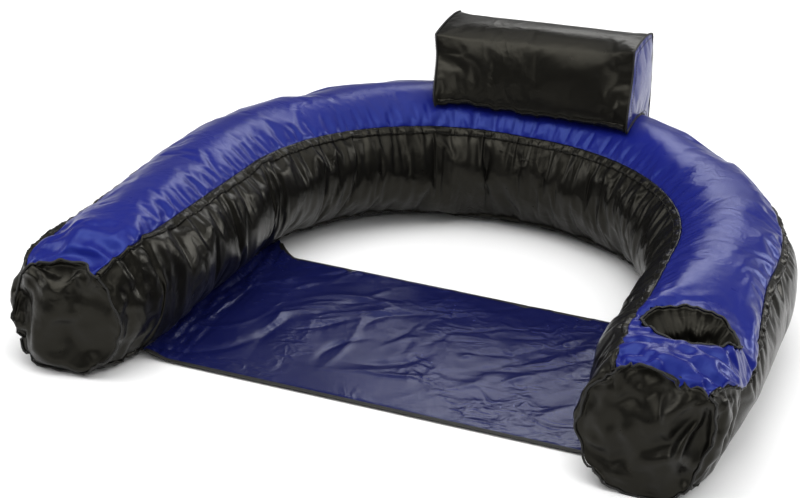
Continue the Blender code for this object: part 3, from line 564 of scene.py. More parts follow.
def coverMesh():
    points, hold, slack, distance, angle = startShape()
    rows, ring = points.shape[:2]
    radius, column, border = capGrid()
    verts, holds, slacks = [points.reshape(-1, 3)], [hold.ravel()], [slack.ravel()]
    faces = []
    for row in range(rows - 1):
        below, above = row * ring, (row + 1) * ring
        for col in range(ring):
            after = (col + 1) % ring
            faces.append((below + col, below + after, above + after, above + col))
    rimOf = {place: index for index, place in enumerate(border)}
    total = rows * ring
    capNumbers = {}
    for side, row in (("right", 0), ("left", rows - 1)):
        station = [float(value[0]) for value in stations(np.array([distance[row, 0]]))]
        middle = np.array([station[0], station[1], station[5]])
        rim = points[row]
        numbers = np.zeros((capSide + 1, capSide + 1), int)
        capPoints = []
        for i in range(capSide + 1):
            for j in range(capSide + 1):
                if (i, j) in rimOf:
                    numbers[i, j] = row * ring + rimOf[(i, j)]
                    continue
                low = int(column[i, j]) % ring
                part = column[i, j] - int(column[i, j])
                edge = rim[low] * (1 - part) + rim[(low + 1) % ring] * part
                place = middle + (edge - middle) * radius[i, j]
                place[1] -= tube["bulge"] * 0.8 * (1 - radius[i, j] ** 2)
                place[1] += cover["capRipple"] * noise.noise(Vector(place * 45))
                numbers[i, j] = total
                total += 1
                capPoints.append(place)
        verts.append(np.array(capPoints))
        holds.append(np.zeros(len(capPoints)))
        slacks.append(np.ones(len(capPoints)))
        for i in range(capSide):
            for j in range(capSide):
                quad = (numbers[i, j], numbers[i + 1, j], numbers[i + 1, j + 1], numbers[i, j + 1])
                faces.append(tuple(int(n) for n in (quad if side == "right" else quad[::-1])))
        capNumbers[side] = numbers
    mesh = bpy.data.meshes.new("coverSkin")
    allPoints = np.concatenate(verts)
    mesh.from_pydata(allPoints.tolist(), [], faces)
    piece = bpy.data.objects.new("coverSkin", mesh)
    scene.collection.objects.link(piece)
    weights(piece, "hold", np.concatenate(holds))
    weights(piece, "taut", 1 - np.concatenate(slacks))
    return piece, allPoints, capNumbers, distance, angle


def weights(piece, name, values):
    group = piece.vertex_groups.new(name=name)
    for index, value in enumerate(values):
        if value > 0.001:
            group.add([index], float(value), "REPLACE")


def inflate(piece, pressure, frames, oversize, stiffness=40.0, bending=0.2, mass=0.15):
    # lets the cloth swell and crumple between the places that hold it
    cloth = piece.modifiers.new("Cloth", "CLOTH")
    settings = cloth.settings
    settings.quality = 6
    settings.mass = mass
    settings.air_damping = 1.5
    settings.tension_stiffness = stiffness
    settings.compression_stiffness = stiffness
    settings.shear_stiffness = stiffness / 3
    settings.bending_stiffness = bending
    settings.use_pressure = True
    settings.uniform_pressure_force = pressure
    settings.vertex_group_mass = "hold"
    settings.vertex_group_shrink = "taut"
    settings.shrink_min = -oversize
    settings.shrink_max = 0.0
    settings.effector_weights.gravity = 0.0
    cloth.collision_settings.use_collision = False
    cloth.point_cache.frame_start = 1
    cloth.point_cache.frame_end = frames
    for number in range(1, frames + 1):
        scene.frame_set(number)
    graph = bpy.context.evaluated_depsgraph_get()
    moved = piece.evaluated_get(graph).to_mesh()
    swollen = np.zeros(len(moved.vertices) * 3, np.float32)
    moved.vertices.foreach_get("co", swollen)
    piece.modifiers.remove(cloth)
    scene.frame_set(1)
    return swollen.reshape(-1, 3).astype(float)


def seat(points, limit, start):
    # holds each point within reach of where it started
    move = points - start
    size = np.linalg.norm(move, axis=1)
    return start + move * np.minimum(1, limit / np.maximum(size, 1e-9))[:, None]


def applyAll(piece):
    bpy.ops.object.select_all(action="DESELECT")
    piece.select_set(True)
    bpy.context.view_layer.objects.active = piece
    for modifier in list(piece.modifiers):
        bpy.ops.object.modifier_apply(modifier=modifier.name)


def thicken(piece, wall, levels=1):
    # one level of smoothing, then a wall to the inside, both applied
    if levels:
        fine = piece.modifiers.new("Fine", "SUBSURF")
        fine.levels = fine.render_levels = levels
        fine.boundary_smooth = "PRESERVE_CORNERS"
    if wall:
        solid = piece.modifiers.new("Wall", "SOLIDIFY")
        solid.thickness = wall
        solid.offset = -1
    applyAll(piece)
    piece.data.shade_smooth()


def gridPiece(name, points, look, u=None, flip=False, wrap=False):
    # a sheet through a grid of points [row, column], with its cloth map in metres
    rows, cols = points.shape[:2]
    faces, corners = [], []
    for row in range(rows - 1):
        for col in range(cols if wrap else cols - 1):
            quad = [(row, col), (row, col + 1), (row + 1, col + 1), (row + 1, col)]
            quad = quad[::-1] if flip else quad
            corners.append(quad)
            faces.append([r * cols + c % cols for r, c in quad])
    mesh = bpy.data.meshes.new(name)
    mesh.from_pydata(points.reshape(-1, 3).tolist(), [], faces)
    if u is None:
        u = np.cumsum(np.pad(np.linalg.norm(np.diff(points, axis=0), axis=2).mean(1), (1, 0)))
    ring = np.concatenate([points, points[:, :1]], 1) if wrap else points
    v = np.cumsum(np.pad(np.linalg.norm(np.diff(ring, axis=1), axis=2).mean(0), (1, 0)))
    layer = mesh.uv_layers.new(name="cloth")
    values = np.array([(u[r], v[c]) for quad in corners for r, c in quad], np.float32)
    layer.data.foreach_set("uv", values.ravel())
    mesh.materials.append(look)
    mesh.shade_smooth()
    piece = bpy.data.objects.new(name, mesh)
    scene.collection.objects.link(piece)
    return piece


def treeOf(points, faces):
    return BVHTree.FromPolygons([tuple(p) for p in points], faces)


def cutHole(piece, inside, onto):
    # cuts a hole: inside(point) is under 1 in it, onto(point) moves a rim point to its edge
    bm = bmesh.new()
    bm.from_mesh(piece.data)
    gone = [vert for vert in bm.verts if inside(vert.co) < 1]
    near = {edge.other_vert(vert) for vert in gone for edge in vert.link_edges} - set(gone)
    bmesh.ops.delete(bm, geom=gone, context="VERTS")
    stubs = [vert for vert in bm.verts if not vert.link_faces]
    bmesh.ops.delete(bm, geom=stubs, context="VERTS")
    rim = [vert for vert in near if vert.is_valid and any(edge.is_boundary for edge in vert.link_edges)]
    for vert in rim:
        vert.co = onto(vert.co)
    bm.to_mesh(piece.data)
    bm.free()


def bead(name, path, wide, thick, look, closed=True, up=None, sides=10):
    # a cord or folded binding along a path; thick is measured along up
    path = np.array(path, float)
    count = len(path)
    if closed:
        tangent = np.roll(path, -1, 0) - np.roll(path, 1, 0)
    else:
        tangent = np.gradient(path, axis=0)
    tangent /= np.linalg.norm(tangent, axis=1)[:, None]
    up = np.tile((0.0, 0.0, 1.0), (count, 1)) if up is None else np.array(up, float)
    across = np.cross(tangent, up)
    across /= np.linalg.norm(across, axis=1)[:, None]
    up = np.cross(across, tangent)
    turn = np.linspace(0, 2 * math.pi, sides, endpoint=False)
    ring = (path[:, None] + across[:, None] * (np.cos(turn) * wide)[None, :, None]
            + up[:, None] * (np.sin(turn) * thick)[None, :, None])
    if closed:
        ring = np.concatenate([ring, ring[:1]])
    piece = gridPiece(name, ring, look, wrap=True)
    bm = bmesh.new()
    bm.from_mesh(piece.data)
    bmesh.ops.remove_doubles(bm, verts=bm.verts, dist=0.000005)
    if not closed:
        bmesh.ops.holes_fill(bm, edges=[edge for edge in bm.edges if edge.is_boundary], sides=0)
    bmesh.ops.recalc_face_normals(bm, faces=bm.faces)
    bm.to_mesh(piece.data)
    bm.free()
    piece.data.shade_smooth()
    return piece


def stitches(name, path, normal, look, pitch=0.0042, length=0.0030, radius=0.00042, lift=0.0002):
    # a line of lock stitches along a path, each a short spindle of thread
    path, normal = np.array(path, float), np.array(normal, float)
    along = np.concatenate([[0], np.cumsum(np.linalg.norm(np.diff(path, axis=0), axis=1))])
    places = np.arange(pitch, along[-1] - pitch, pitch)
    at = np.stack([np.interp(places, along, path[:, axis]) for axis in range(3)], 1)
    ahead = np.stack([np.interp(places + length / 2, along, path[:, axis]) for axis in range(3)], 1)
    out = np.stack([np.interp(places, along, normal[:, axis]) for axis in range(3)], 1)
    verts, faces = [], []
    for place, front, outward in zip(at, ahead, out):
        run = front - place
        run /= np.linalg.norm(run)
        outward = outward - run * outward.dot(run)
        outward /= np.linalg.norm(outward)
        side = np.cross(run, outward)
        first = len(verts)
        for step, size, rise in ((-0.5, 0.35, -0.6), (-0.3, 0.9, 0.4), (0.3, 0.9, 0.4), (0.5, 0.35, -0.6)):
            for corner in range(5):
                angle = 2 * math.pi * corner / 5
                verts.append(place + run * step * length + outward * (lift + rise * radius)
                             + (side * math.cos(angle) + outward * math.sin(angle)) * radius * size)
        for band in range(3):
            for corner in range(5):
                low, high = first + band * 5 + corner, first + band * 5 + (corner + 1) % 5
                faces.append((low, low + 5, high + 5, high))
        faces.append(tuple(first + corner for corner in range(5)))
        faces.append(tuple(first + 15 + corner for corner in reversed(range(5))))
    mesh = bpy.data.meshes.new(name)
    mesh.from_pydata([tuple(vert) for vert in verts], [], faces)
    mesh.materials.append(look)
    mesh.shade_smooth()
    piece = bpy.data.objects.new(name, mesh)
    scene.collection.objects.link(piece)
    return piece


def joinPieces(pieces):
    # all become part of the first one
    bpy.ops.object.select_all(action="DESELECT")
    for piece in pieces:
        piece.select_set(True)
    bpy.context.view_layer.objects.active = pieces[0]
    bpy.ops.object.join()
    return pieces[0]


# the mouth of the cup pocket, on the right arm

cupLow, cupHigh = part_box("cup_pocket_binding")
cup = {
    "centre": ((cupLow.x + cupHigh.x) / 2 + 0.009, (cupLow.y + cupHigh.y) / 2 + 0.002),
    "half": (0.0600, 0.0400),
    "wave": 0.06,             # how much the mouth wanders from an oval
    "gather": 0.05,           # and its smaller gathers on the far side
    "waist": 0.74,            # the pouch below its wide mouth
    "wall": 0.72,             # share of the levels that are its wall, the rest are its floor
    "floor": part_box("cup_pocket")[0].z,
    "columns": 96,
    "levels": 26,
    "pleats": 0.0088,
    "sag": 0.004,
    "creases": 0.007,
    "bindingWide": 0.0020,
    "bindingThick": 0.0011,
}


# folds that stay in the slack cloth: height in metres, folds a metre

folds = {
    "shoulder": (0.0058, 24),
    "rightCap": (0.0100, 14),
    "leftCap": (0.0035, 24),
    "ends": (0.0026, 40),
    "rays": 0.0016,           # gathers round the cup's mouth
    "rayCount": 24,
}


def cupPlace(x, y):
    # how far across and along the cup's mouth a place is, with 1 at the rim
    return (x - cup["centre"][0]) / cup["half"][0], (y - cup["centre"][1]) / cup["half"][1]


def ridged(points, scale, seed):
    # -1 to 1, with sharp ridges as folded cloth has
    flat = points.reshape(-1, 3)
    values = [1 - 3.2 * abs(noise.noise(Vector(place * scale) + Vector((seed, 0, 0)))) for place in flat]
    return np.array(values).reshape(points.shape[:-1])


def crumple(points, count):
    # the first count points are the tube's, the rest are the two caps'
    sheet = points[:count].reshape(cover["rows"], 4 * capSide, 3)
    middle = sheet.mean(1, keepdims=True)
    out = sheet - middle
    out /= np.linalg.norm(out, axis=2)[:, :, None]
    nearEnd = np.minimum(distance, runLength - distance)
    still = 1 - calmPlaces(distance, angle)
    onTop = smoothStep(50, 75, angle) * smoothStep(185, 160, angle)
    front = smoothStep(0.115, 0.05, distance) * onTop
    tall, scale = folds["shoulder"]
    press = front * tall * (ridged(sheet, scale, 1.0) + 0.5 * ridged(sheet, scale * 2.1, 4.0) - 0.4)
    tall, scale = folds["ends"]
    press += smoothStep(0.10, 0.02, nearEnd) * still * tall * (ridged(sheet, scale, 9.0) - 0.3)
    across, along = cupPlace(sheet[..., 0], sheet[..., 1])
    ratio = np.hypot(across, along)
    turn = np.arctan2(along, across)
    bend = ripple(turn * 1.3, ratio * 1.2, 3.3)
    rays = 1 - 2 * np.abs(np.sin(folds["rayCount"] / 2 * turn + 3.5 * bend))
    press += folds["rays"] * rays * smoothStep(2.3, 1.1, ratio) * onTop * (distance < 0.35)
    sheet = sheet + out * press[:, :, None]
    half = (len(points) - count) // 2
    caps = (points[count:count + half], points[count + half:])
    result = [sheet.reshape(-1, 3)]
    for piece, (tall, scale), seed in zip(caps, (folds["rightCap"], folds["leftCap"]), (2.0, 6.0)):
        # the folds run aslant and are longer than they are wide
        slant = piece @ np.array(((0.8, 0, 0.6), (0, 1, 0), (-0.6, 0, 0.8))) * np.array((1.0, 1.0, 0.55))
        inner = np.linalg.norm(piece - piece.mean(0), axis=1)
        free = smoothStep(inner.max() * 1.02, inner.max() * 0.8, inner)
        fold = ridged(slant, scale, seed) + 0.35 * ridged(piece, scale * 2.6, seed + 3) - 0.3
        result.append(piece - np.array((0, 1.0, 0)) * (tall * free * fold)[:, None])
    return np.concatenate(result)


skinPiece, startPoints, capNumbers, distance, angle = coverMesh()
swollen = inflate(skinPiece, cover["pressure"], cover["frames"], cover["oversize"])
tubeCount = cover["rows"] * 4 * capSide
limit = np.full(len(startPoints), cover["travel"])
limit[tubeCount:] = cover["capTravel"]
swollen = seat(swollen, limit, startPoints)
swollen = crumple(swollen, tubeCount)
swollen[:, 2] = np.maximum(swollen[:, 2], cover["lowest"])
skinFaces = [tuple(face.vertices) for face in skinPiece.data.polygons]
skinTree = treeOf(swollen, skinFaces)
bpy.data.objects.remove(skinPiece)
grid = swollen[:tubeCount].reshape(cover["rows"], 4 * capSide, 3)
ringAgain = np.concatenate([grid, grid[:, :1]], 1)      # the first column again, to close the tube
print("cover inflated")


def groundedOn(x, y, fallback):
    # height of the cover's upper side above a place
    hit = skinTree.ray_cast(Vector((x, y, 0.5)), Vector((0, 0, -1)))[0]
    return hit.z if hit else fallback


panelEdges = np.cumsum([0] + list(cover["columns"].values()))
panelAt = dict(zip(cover["columns"], zip(panelEdges[:-1], panelEdges[1:])))


def cupRatio(point):
    return math.hypot(*cupPlace(point.x, point.y)) + (9 if point.z < cup["floor"] else 0)


def mouthRim(turn):
    # a rim point on the cover, a little wavy as gathered cloth is
    size = 1 + cup["wave"] * noise.noise(Vector((2.2 * math.cos(turn), 2.2 * math.sin(turn), 4.0)))
    farSide = 0.5 + 0.5 * math.sin(turn)
    size += cup["gather"] * farSide * noise.noise(Vector((9 * math.cos(turn), 9 * math.sin(turn), 1.0)))
    x = cup["centre"][0] + cup["half"][0] * size * math.cos(turn)
    y = cup["centre"][1] + cup["half"][1] * size * math.sin(turn)
    return Vector((x, y, groundedOn(x, y, 0.18)))


def toMouth(point):
    across, along = cupPlace(point.x, point.y)
    return mouthRim(math.atan2(along, across))


# the round hole for a valve: its edge lies on the cloth, and a binding runs round it

farBehind = 0.8


def windowRim(hole, tree, turn):
    x = hole["centre"].x + hole["radius"] * math.cos(turn)
    z = hole["centre"].z + hole["radius"] * math.sin(turn)
    hit = tree.ray_cast(Vector((x, farBehind, z)), Vector((0, -1, 0)))[0]
    return Vector((x, hit.y, z))


def cutWindow(piece, hole, tree):
    centre = hole["centre"]

    def ratio(point):
        if point.y < centre.y - 0.02:
            return 9
        return math.hypot(point.x - centre.x, point.z - centre.z) / hole["radius"]

    def toRim(point):
        return windowRim(hole, tree, math.atan2(point.z - centre.z, point.x - centre.x))

    cutHole(piece, ratio, toRim)


def windowBinding(name, hole, tree):
    turns = np.linspace(0, 2 * math.pi, hole["points"], endpoint=False)
    path = [windowRim(hole, tree, turn) + Vector((0, hole["lift"], 0)) for turn in turns]
    return bead(name, path, hole["bindingWide"], hole["bindingThick"], looks["binding"],
                up=np.tile((0.0, 1.0, 0.0), (len(path), 1)))


def coverPanels():
    along = distance[:, 0]
    for panel in ("top", "inner", "outer", "bottom"):
        name = "cover" + panel.title()
        look = "blueNylon" if panel == "top" else "blackNylon"
        first, last = panelAt[panel]
        piece = gridPiece(name, ringAgain[:, first:last + 1], looks[look], u=along)
        if panel == "top":
            cutHole(piece, cupRatio, toMouth)
        if panel == "outer":
            cutWindow(piece, window, skinTree)
        thicken(piece, cover["wall"])
        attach(piece, "float")
        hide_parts("cover_" + panel + "_panel")
    for side in ("right", "left"):
        points = swollen[capNumbers[side]]
        piece = gridPiece("endCap" + side.title(), points, looks["blackNylon"], flip=(side == "right"))
        thicken(piece, cover["wall"])
        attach(piece, "float")
        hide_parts("end_cap_" + side)


coverPanels()
windowRing = windowBinding("valveWindowBinding", window, skinTree)
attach(windowRing, "float")
print("cover panels cut")


# seams: folded bands with two lines of stitches, and piped ends

seams = {
    "bandWidth": 0.012,
    "bandLift": 0.0007,
    "bandWall": 0.0006,
    "pucker": 0.0005,
    "finer": 4,            # band rows for every row of the cover
    "pipingRadius": 0.0015,
    "pipingOut": 0.0016,   # the piping's middle outside the cover's end
    "overhang": 0.0015,    # how far a band reaches over the blue side
    "zipEnd": 0.314,       # from the left end, where the zip ends and the underside seam begins
}
looks["thread"] = clothLook("thread", (0.008, 0.008, 0.008), (0.018, 0.017, 0.016), 0.6, 0.3,
                            threads=2500.0)


def finerRows(points, factor):
    rows = np.arange(len(points))
    fine = np.linspace(0, len(points) - 1, (len(points) - 1) * factor + 1)
    columns = points.reshape(len(points), -1).T
    finer = np.stack([np.interp(fine, rows, column) for column in columns], 1)
    return finer.reshape(-1, *points.shape[1:])


def seamBand(name, node, seamColumn, toward, lines=2, end=None):
    # a band beside a seam; toward is +1 or -1 column direction, away from the blue side
    count = 4 * capSide
    rows = slice(1, (end or cover["rows"]) - 1)
    base = grid[rows, seamColumn % count]
    steps = [grid[rows, (seamColumn + toward * k) % count] for k in range(4)]
    lengths = [0.0]
    for low, high in zip(steps, steps[1:]):
        lengths.append(lengths[-1] + float(np.linalg.norm(high - low, axis=1).mean()))
    cuts = np.linspace(-seams["overhang"], seams["bandWidth"], 6)
    before = grid[rows, (seamColumn - toward) % count]
    places = [before] + steps
    knots = [-float(np.linalg.norm(base - before, axis=1).mean())] + lengths
    strips = []
    for cut in cuts:
        low = max(k for k in range(len(knots) - 1) if knots[k] <= cut + 1e-9)
        part = (cut - knots[low]) / (knots[low + 1] - knots[low])
        strips.append(places[low] * (1 - part) + places[low + 1] * part)
    strip = finerRows(np.stack(strips, 1), seams["finer"])
    normal = np.cross(np.gradient(strip, axis=1), np.gradient(strip, axis=0)) * toward
    normal /= np.linalg.norm(normal, axis=2)[:, :, None]
    place = np.arange(len(strip))[:, None] * 0.35
    pucker = ripple(place, np.arange(6)[None, :] * 0.25, 1.7 + seamColumn)
    strip = strip + normal * (seams["bandLift"] + seams["bandWall"] + seams["pucker"] * pucker)[:, :, None]
    piece = gridPiece(name, strip, looks["blackNylon"], flip=(toward < 0))
    thicken(piece, seams["bandWall"], levels=0)
    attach(piece, "float")
    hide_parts(node)
    thread = [stitches(name + "Stitches", strip[:, column], normal[:, column], looks["thread"])
              for column in (1, 4)[:lines]]
    thread = joinPieces(thread) if lines > 1 else thread[0]
    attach(thread, "float")
    return strip, normal


def makeSeams():
    top, outer = panelAt["top"]
    bottom = panelAt["outer"][1]
    zipRow = int(cover["rows"] * (1 - seams["zipEnd"] / runLength))
    seamBand("seamInnerTop", "seam_tape_inner_top", top, -1)
    seamBand("seamOuterTop", "seam_tape_outer_top", outer, 1)
    seamBand("seamInnerBottom", "seam_tape_inner_bottom", 0, 1)
    seamBand("seamOuterBottom", "seam_tape_outer_bottom", bottom, -1, lines=1, end=zipRow)
    for side, row in (("Right", 0), ("Left", cover["rows"] - 1)):
        rim = grid[row]
        middle = rim.mean(0)
        out = rim - middle
        out /= np.linalg.norm(out, axis=1)[:, None]
        path = rim + out * seams["pipingOut"] + np.array((0, -0.0006, 0))
        path[:, 2] = np.maximum(path[:, 2], seams["pipingRadius"] + 0.0002)
        piece = bead("capPiping" + side, path, seams["pipingRadius"], seams["pipingRadius"],
                     looks["binding"], up=np.tile((0.0, 1.0, 0.0), (len(path), 1)))
        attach(piece, "float")
        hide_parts("end_cap_piping_" + side.lower())


makeSeams()
print("seams sewn")


# the sling seat between the arms

seatLow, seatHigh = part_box("seat_panel")
sling = {
    "frontAt": seatLow.y - frontY,      # arm's front end to the seat's front edge
    "length": 0.445,
    "rearCurve": 0.035,
    "riseWidth": 0.042,
    "clear": 0.003,
    "flatZ": 0.0028,
    "columns": 200,
    "rows": 150,
    "wall": 0.0007,
    "edgeGathers": 0.0045,
    "swell": 0.002,
    "hem": 0.02,
    "lowest": 0.0016,
    "bindingWide": 0.0046,
    "bindingThick": 0.0014,
    "bindingAt": 0.0022,      # how far inside the edge the binding's middle runs
}
# two sets of folds: short sharp ones, then long soft ones; low and high are the corners of their area
slingFolds = (
    {"count": 70, "low": (-0.27, -0.20), "high": (0.24, 0.03), "turn": 55, "turnSpread": 22,
     "long": (0.010, 0.035), "wide": (0.0025, 0.006), "tall": 0.0022, "seed": 4},
    {"count": 26, "low": (-0.26, -0.37), "high": (0.26, -0.02), "turn": 60, "turnSpread": 25,
     "long": (0.03, 0.09), "wide": (0.005, 0.012), "tall": 0.0034, "seed": 11},
)


def slingPoint(along, share):
    # a place on the sling: along it from 0 to 1, and across it from -1 to 1
    way = np.array([sling["frontAt"] + sling["length"] * along])
    edge = skin(way, cover["seams"]["innerBottom"][0], sling["clear"])[0]
    climb = max(0.0, 1 - (1 - abs(share)) * edge[0] / sling["riseWidth"])
    blend = climb * climb * (3 - 2 * climb)
    z = sling["flatZ"] + (edge[2] - sling["flatZ"]) * blend
    y = edge[1] - sling["rearCurve"] * along * (1 - climb ** 2)
    return np.array((edge[0] * share, y, z))


def foldField(places, spread):
    # height that many folds add at flat places [.., 2] in metres
    picker = np.random.default_rng(spread["seed"])
    height = np.zeros(places.shape[:-1])
    for _ in range(spread["count"]):
        centre = picker.uniform(spread["low"], spread["high"])
        turn = math.radians(picker.normal(spread["turn"], spread["turnSpread"]))
        long = picker.uniform(*spread["long"])
        wide = picker.uniform(*spread["wide"])
        tall = picker.uniform(0.3, 1.0) * spread["tall"] * picker.choice([-1, 1])
        offset = places - centre
        run = offset[..., 0] * math.cos(turn) + offset[..., 1] * math.sin(turn)
        side = -offset[..., 0] * math.sin(turn) + offset[..., 1] * math.cos(turn)
        side = side + 6 * run ** 2 * picker.uniform(-1, 1)      # each fold is a little bent
        height += tall * np.exp(-(run / long) ** 2) * np.exp(-np.abs(side / wide) ** 1.4)
    return height


def makeSling():
    alongs = np.linspace(0, 1, sling["rows"])
    shares = np.linspace(-1, 1, sling["columns"])
    points = np.array([[slingPoint(along, share) for share in shares] for along in alongs])
    field = sum(foldField(points[..., :2], spread) for spread in slingFolds)
    edgeX = np.abs(points[:, -1, 0])[:, None]
    side = 1 - (1 - np.abs(shares)[None, :]) * edgeX / sling["riseWidth"]
    band = smoothStep(-0.5, 0.4, side) * (1 - smoothStep(0.85, 1.0, side))
    x, y = points[..., 0], points[..., 1]
    out = np.abs(x)
    ridges = ripple(y * 14, out * 170 + 3 * np.sign(x), 6.6) + 0.5 * ripple(y * 45, out * 200, 1.2)
    field += sling["edgeGathers"] * band * ridges
    field += sling["swell"] * (ripple(x * 5, y * 6, 9.3) + 0.6)
    hem = smoothStep(0, sling["hem"], alongs)[:, None] * smoothStep(0, sling["hem"], 1 - alongs)[:, None]
    hem = hem * smoothStep(0, sling["hem"], 1 - np.abs(shares))[None, :]
    points[..., 2] = np.maximum(points[..., 2] + field * (0.25 + 0.75 * hem), sling["lowest"])
    piece = gridPiece("seatSling", points, looks["seatNylon"], flip=True)
    thicken(piece, sling["wall"], levels=0)
    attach(piece, "float")
    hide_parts("seat_panel")
    for word, row, inside in (("front", 0, 1), ("rear", -1, -1)):
        path = points[row, 2:-2] + np.array((0, sling["bindingAt"] * inside, 0.0))
        path[:, 2] = np.maximum(path[:, 2], sling["bindingThick"] + 0.0002)
        binding = bead("seatBinding" + word.title(), path, sling["bindingWide"], sling["bindingThick"],
                       looks["binding"], closed=False)
        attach(binding, "float")
        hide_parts("seat_binding_" + word)
    width = float(np.linalg.norm(np.diff(points[::6], axis=1), axis=2).sum(1).mean())
    length = float(np.linalg.norm(np.diff(points[:, ::6], axis=0), axis=2).sum(0).mean())
    print("sling measures", round(width, 3), "by", round(length, 3))


makeSling()
print("seat sling sewn in")


# cup pocket

def makeCup():
    turns = np.linspace(0, 2 * math.pi, cup["columns"], endpoint=False)
    rim = np.array([mouthRim(turn) for turn in turns])
    centre = np.array((cup["centre"][0], cup["centre"][1], cup["floor"] + 0.002))
    levels = np.linspace(0, 1, cup["levels"])
    drop = np.minimum(levels / cup["wall"], 1)
    wide = 0.985 - (0.985 - cup["waist"]) * smoothStep(0, 0.22, levels)
    closing = cup["waist"] * (1 - (levels - cup["wall"]) / (1 - cup["wall"]))
    size = np.where(levels < cup["wall"], wide, closing)
    points = np.zeros((cup["levels"], cup["columns"], 3))
    for row in range(cup["levels"]):
        flat = centre[None, :2] + (rim[:, :2] - centre[None, :2]) * size[row]
        z = rim[:, 2] - 0.0006 + (centre[2] - rim[:, 2]) * drop[row]
        points[row] = np.concatenate([flat, z[:, None]], 1)
    inward = centre[None, None, :2] - points[..., :2]
    inward /= np.maximum(np.linalg.norm(inward, axis=2), 1e-6)[:, :, None]
    level = levels[:, None]
    pleat = 0
    for share, scale, climb, seed in ((1.0, 4.5, 1.5, 7.1), (0.7, 9, 7, 2.4)):
        pleat = pleat + share * ripple(np.cos(turns)[None, :] * scale,
                                       (np.sin(turns) * scale)[None, :] + level * climb, seed)
    amount = cup["pleats"] * smoothStep(0.0, 0.12, level) * (1 - smoothStep(0.75, 1, level))
    points[..., :2] += inward * (np.abs(pleat) * amount)[:, :, None]
    points[..., 2] += (1 - smoothStep(0.9, 1, level)) * cup["sag"] * pleat * smoothStep(0.3, 0.72, level)
    hang = smoothStep(0.02, 0.2, level) * (1 - smoothStep(0.7, 0.95, level))
    crease = np.maximum(ridged(points, 38, 5.0) + 0.3, 0)
    points[..., :2] += inward * (cup["creases"] * hang * crease)[:, :, None]
    piece = gridPiece("cupPouch", points, looks["blackNylon"], wrap=True, flip=True)
    bm = bmesh.new()
    bm.from_mesh(piece.data)
    bmesh.ops.remove_doubles(bm, verts=bm.verts, dist=0.00002)
    bm.to_mesh(piece.data)
    bm.free()
    thicken(piece, cover["wall"])
    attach(piece, "float")
    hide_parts("cup_pocket")
    path = rim + np.array((0, 0, 0.0012))
    piece = bead("cupBinding", path, cup["bindingWide"], cup["bindingThick"], looks["binding"])
    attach(piece, "float")
    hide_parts("cup_pocket_binding")


makeCup()
print("cup pocket hung")


# headrest pillow

wrapLow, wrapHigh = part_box("headrest_wrap")
endLow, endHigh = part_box("headrest_end_right")
pillow = {
    "left": -endHigh.x - 0.004,
    "right": endHigh.x + 0.018,
    "front": wrapLow.y,
    "rear": wrapHigh.y,
    "topLeft": wrapHigh.z - 0.006,
    "topRight": wrapHigh.z + 0.009,
    "lift": 0.0018,            # pillow above the cover
    "sewn": (38, 50, 58),      # where on the tube the front edge is sewn: middle, left end, right end
    "lean": (0.020, 0.010),    # how far the top leans to the left, at its left and right ends
    "droop": 0.009,            # how much lower the left front corner of the top is
    "foldStart": (0, 0.292, 0.172),    # start and end of the band where the pillow folds
    "foldEnd": (0, 0.316, 0.206),
    "cells": (68, 32, 28),     # along X, Y and Z
    "pressure": 5.0,
    "frames": 20,
    "travel": 0.010,
    "oversize": 0.03,
    "lowest": 0.150,           # its underside behind the tube's crown stops here
    "rounding": 0.66,
    "squareEnds": 0.45,        # how much squarer the section is at the ends
    "foot": 0.19,              # about the height of its underside
    "wall": 0.0008,
    "skirtLift": 0.0013,
    "skirtWall": 0.0006,
    "pipingRadius": 0.0014,
    "pipingOut": 0.0010,
    "stitchIn": 0.0045,        # stitches of the end panels, inside the rim
}
pillowWindow = {
    "centre": sum(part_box("headrest_valve_flange"), Vector()) / 2,
    "radius": 0.020,
    "still": 0.036,            # the cloth doesn't move this near the valve
    "points": 64,
    "lift": 0.0006,
    "bindingWide": 0.0015,
    "bindingThick": 0.0011,
}
backWay = np.linspace(tube["armLength"] * 1.2, runLength - tube["armLength"] * 1.2, 900)


def sewnPlace(x):
    # y of the front edge's seam for a place from -1 to 1 along it
    middle, left, right = pillow["sewn"]
    angle = middle + ((right if x > 0 else left) - middle) * abs(x) ** 1.6
    edge = skin(backWay, angle, 0.002)
    order = np.argsort(edge[:, 0])
    wide = pillow["left"] + (pillow["right"] - pillow["left"]) * (x + 1) / 2
    return float(np.interp(wide, edge[order, 0], edge[order, 1]))


sewnAt = np.linspace(-1, 1, 41)
sewnTable = [sewnPlace(x) for x in sewnAt]


def pillowPoint(x, y, z):
    # x, y and z from -1 to 1 across the pillow
    up = (z + 1) / 2
    ends = abs(x) ** 6
    soft = pillow["rounding"] * (1 - pillow["squareEnds"] * ends)
    roundY = y * math.sqrt(1 - soft * z * z / 2)
    roundZ = z * math.sqrt(1 - soft * y * y / 2)
    foot = pillow["left"] + (pillow["right"] - pillow["left"]) * (x + 1) / 2
    leanLeft, leanRight = pillow["lean"]
    placeX = foot - up * (leanLeft + (leanRight - leanLeft) * (x + 1) / 2)
    sewnY = float(np.interp(x, sewnAt, sewnTable))
    front = sewnY + (pillow["front"] - 0.004 - sewnY) * float(smoothStep(0, 0.75, up))
    placeY = (front + pillow["rear"]) / 2 + (pillow["rear"] - front) / 2 * roundY
    ground = max(groundedOn(foot, placeY, pillow["lowest"]) + pillow["lift"], pillow["lowest"])
    top = pillow["topLeft"] + (pillow["topRight"] - pillow["topLeft"]) * (x + 1) / 2
    top -= pillow["droop"] * (1 - x) / 2 * (1 - y) / 2
    return Vector((placeX, placeY, ground + (top - ground) * (roundZ + 1) / 2))


def foldWith(piece):
    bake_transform(piece)


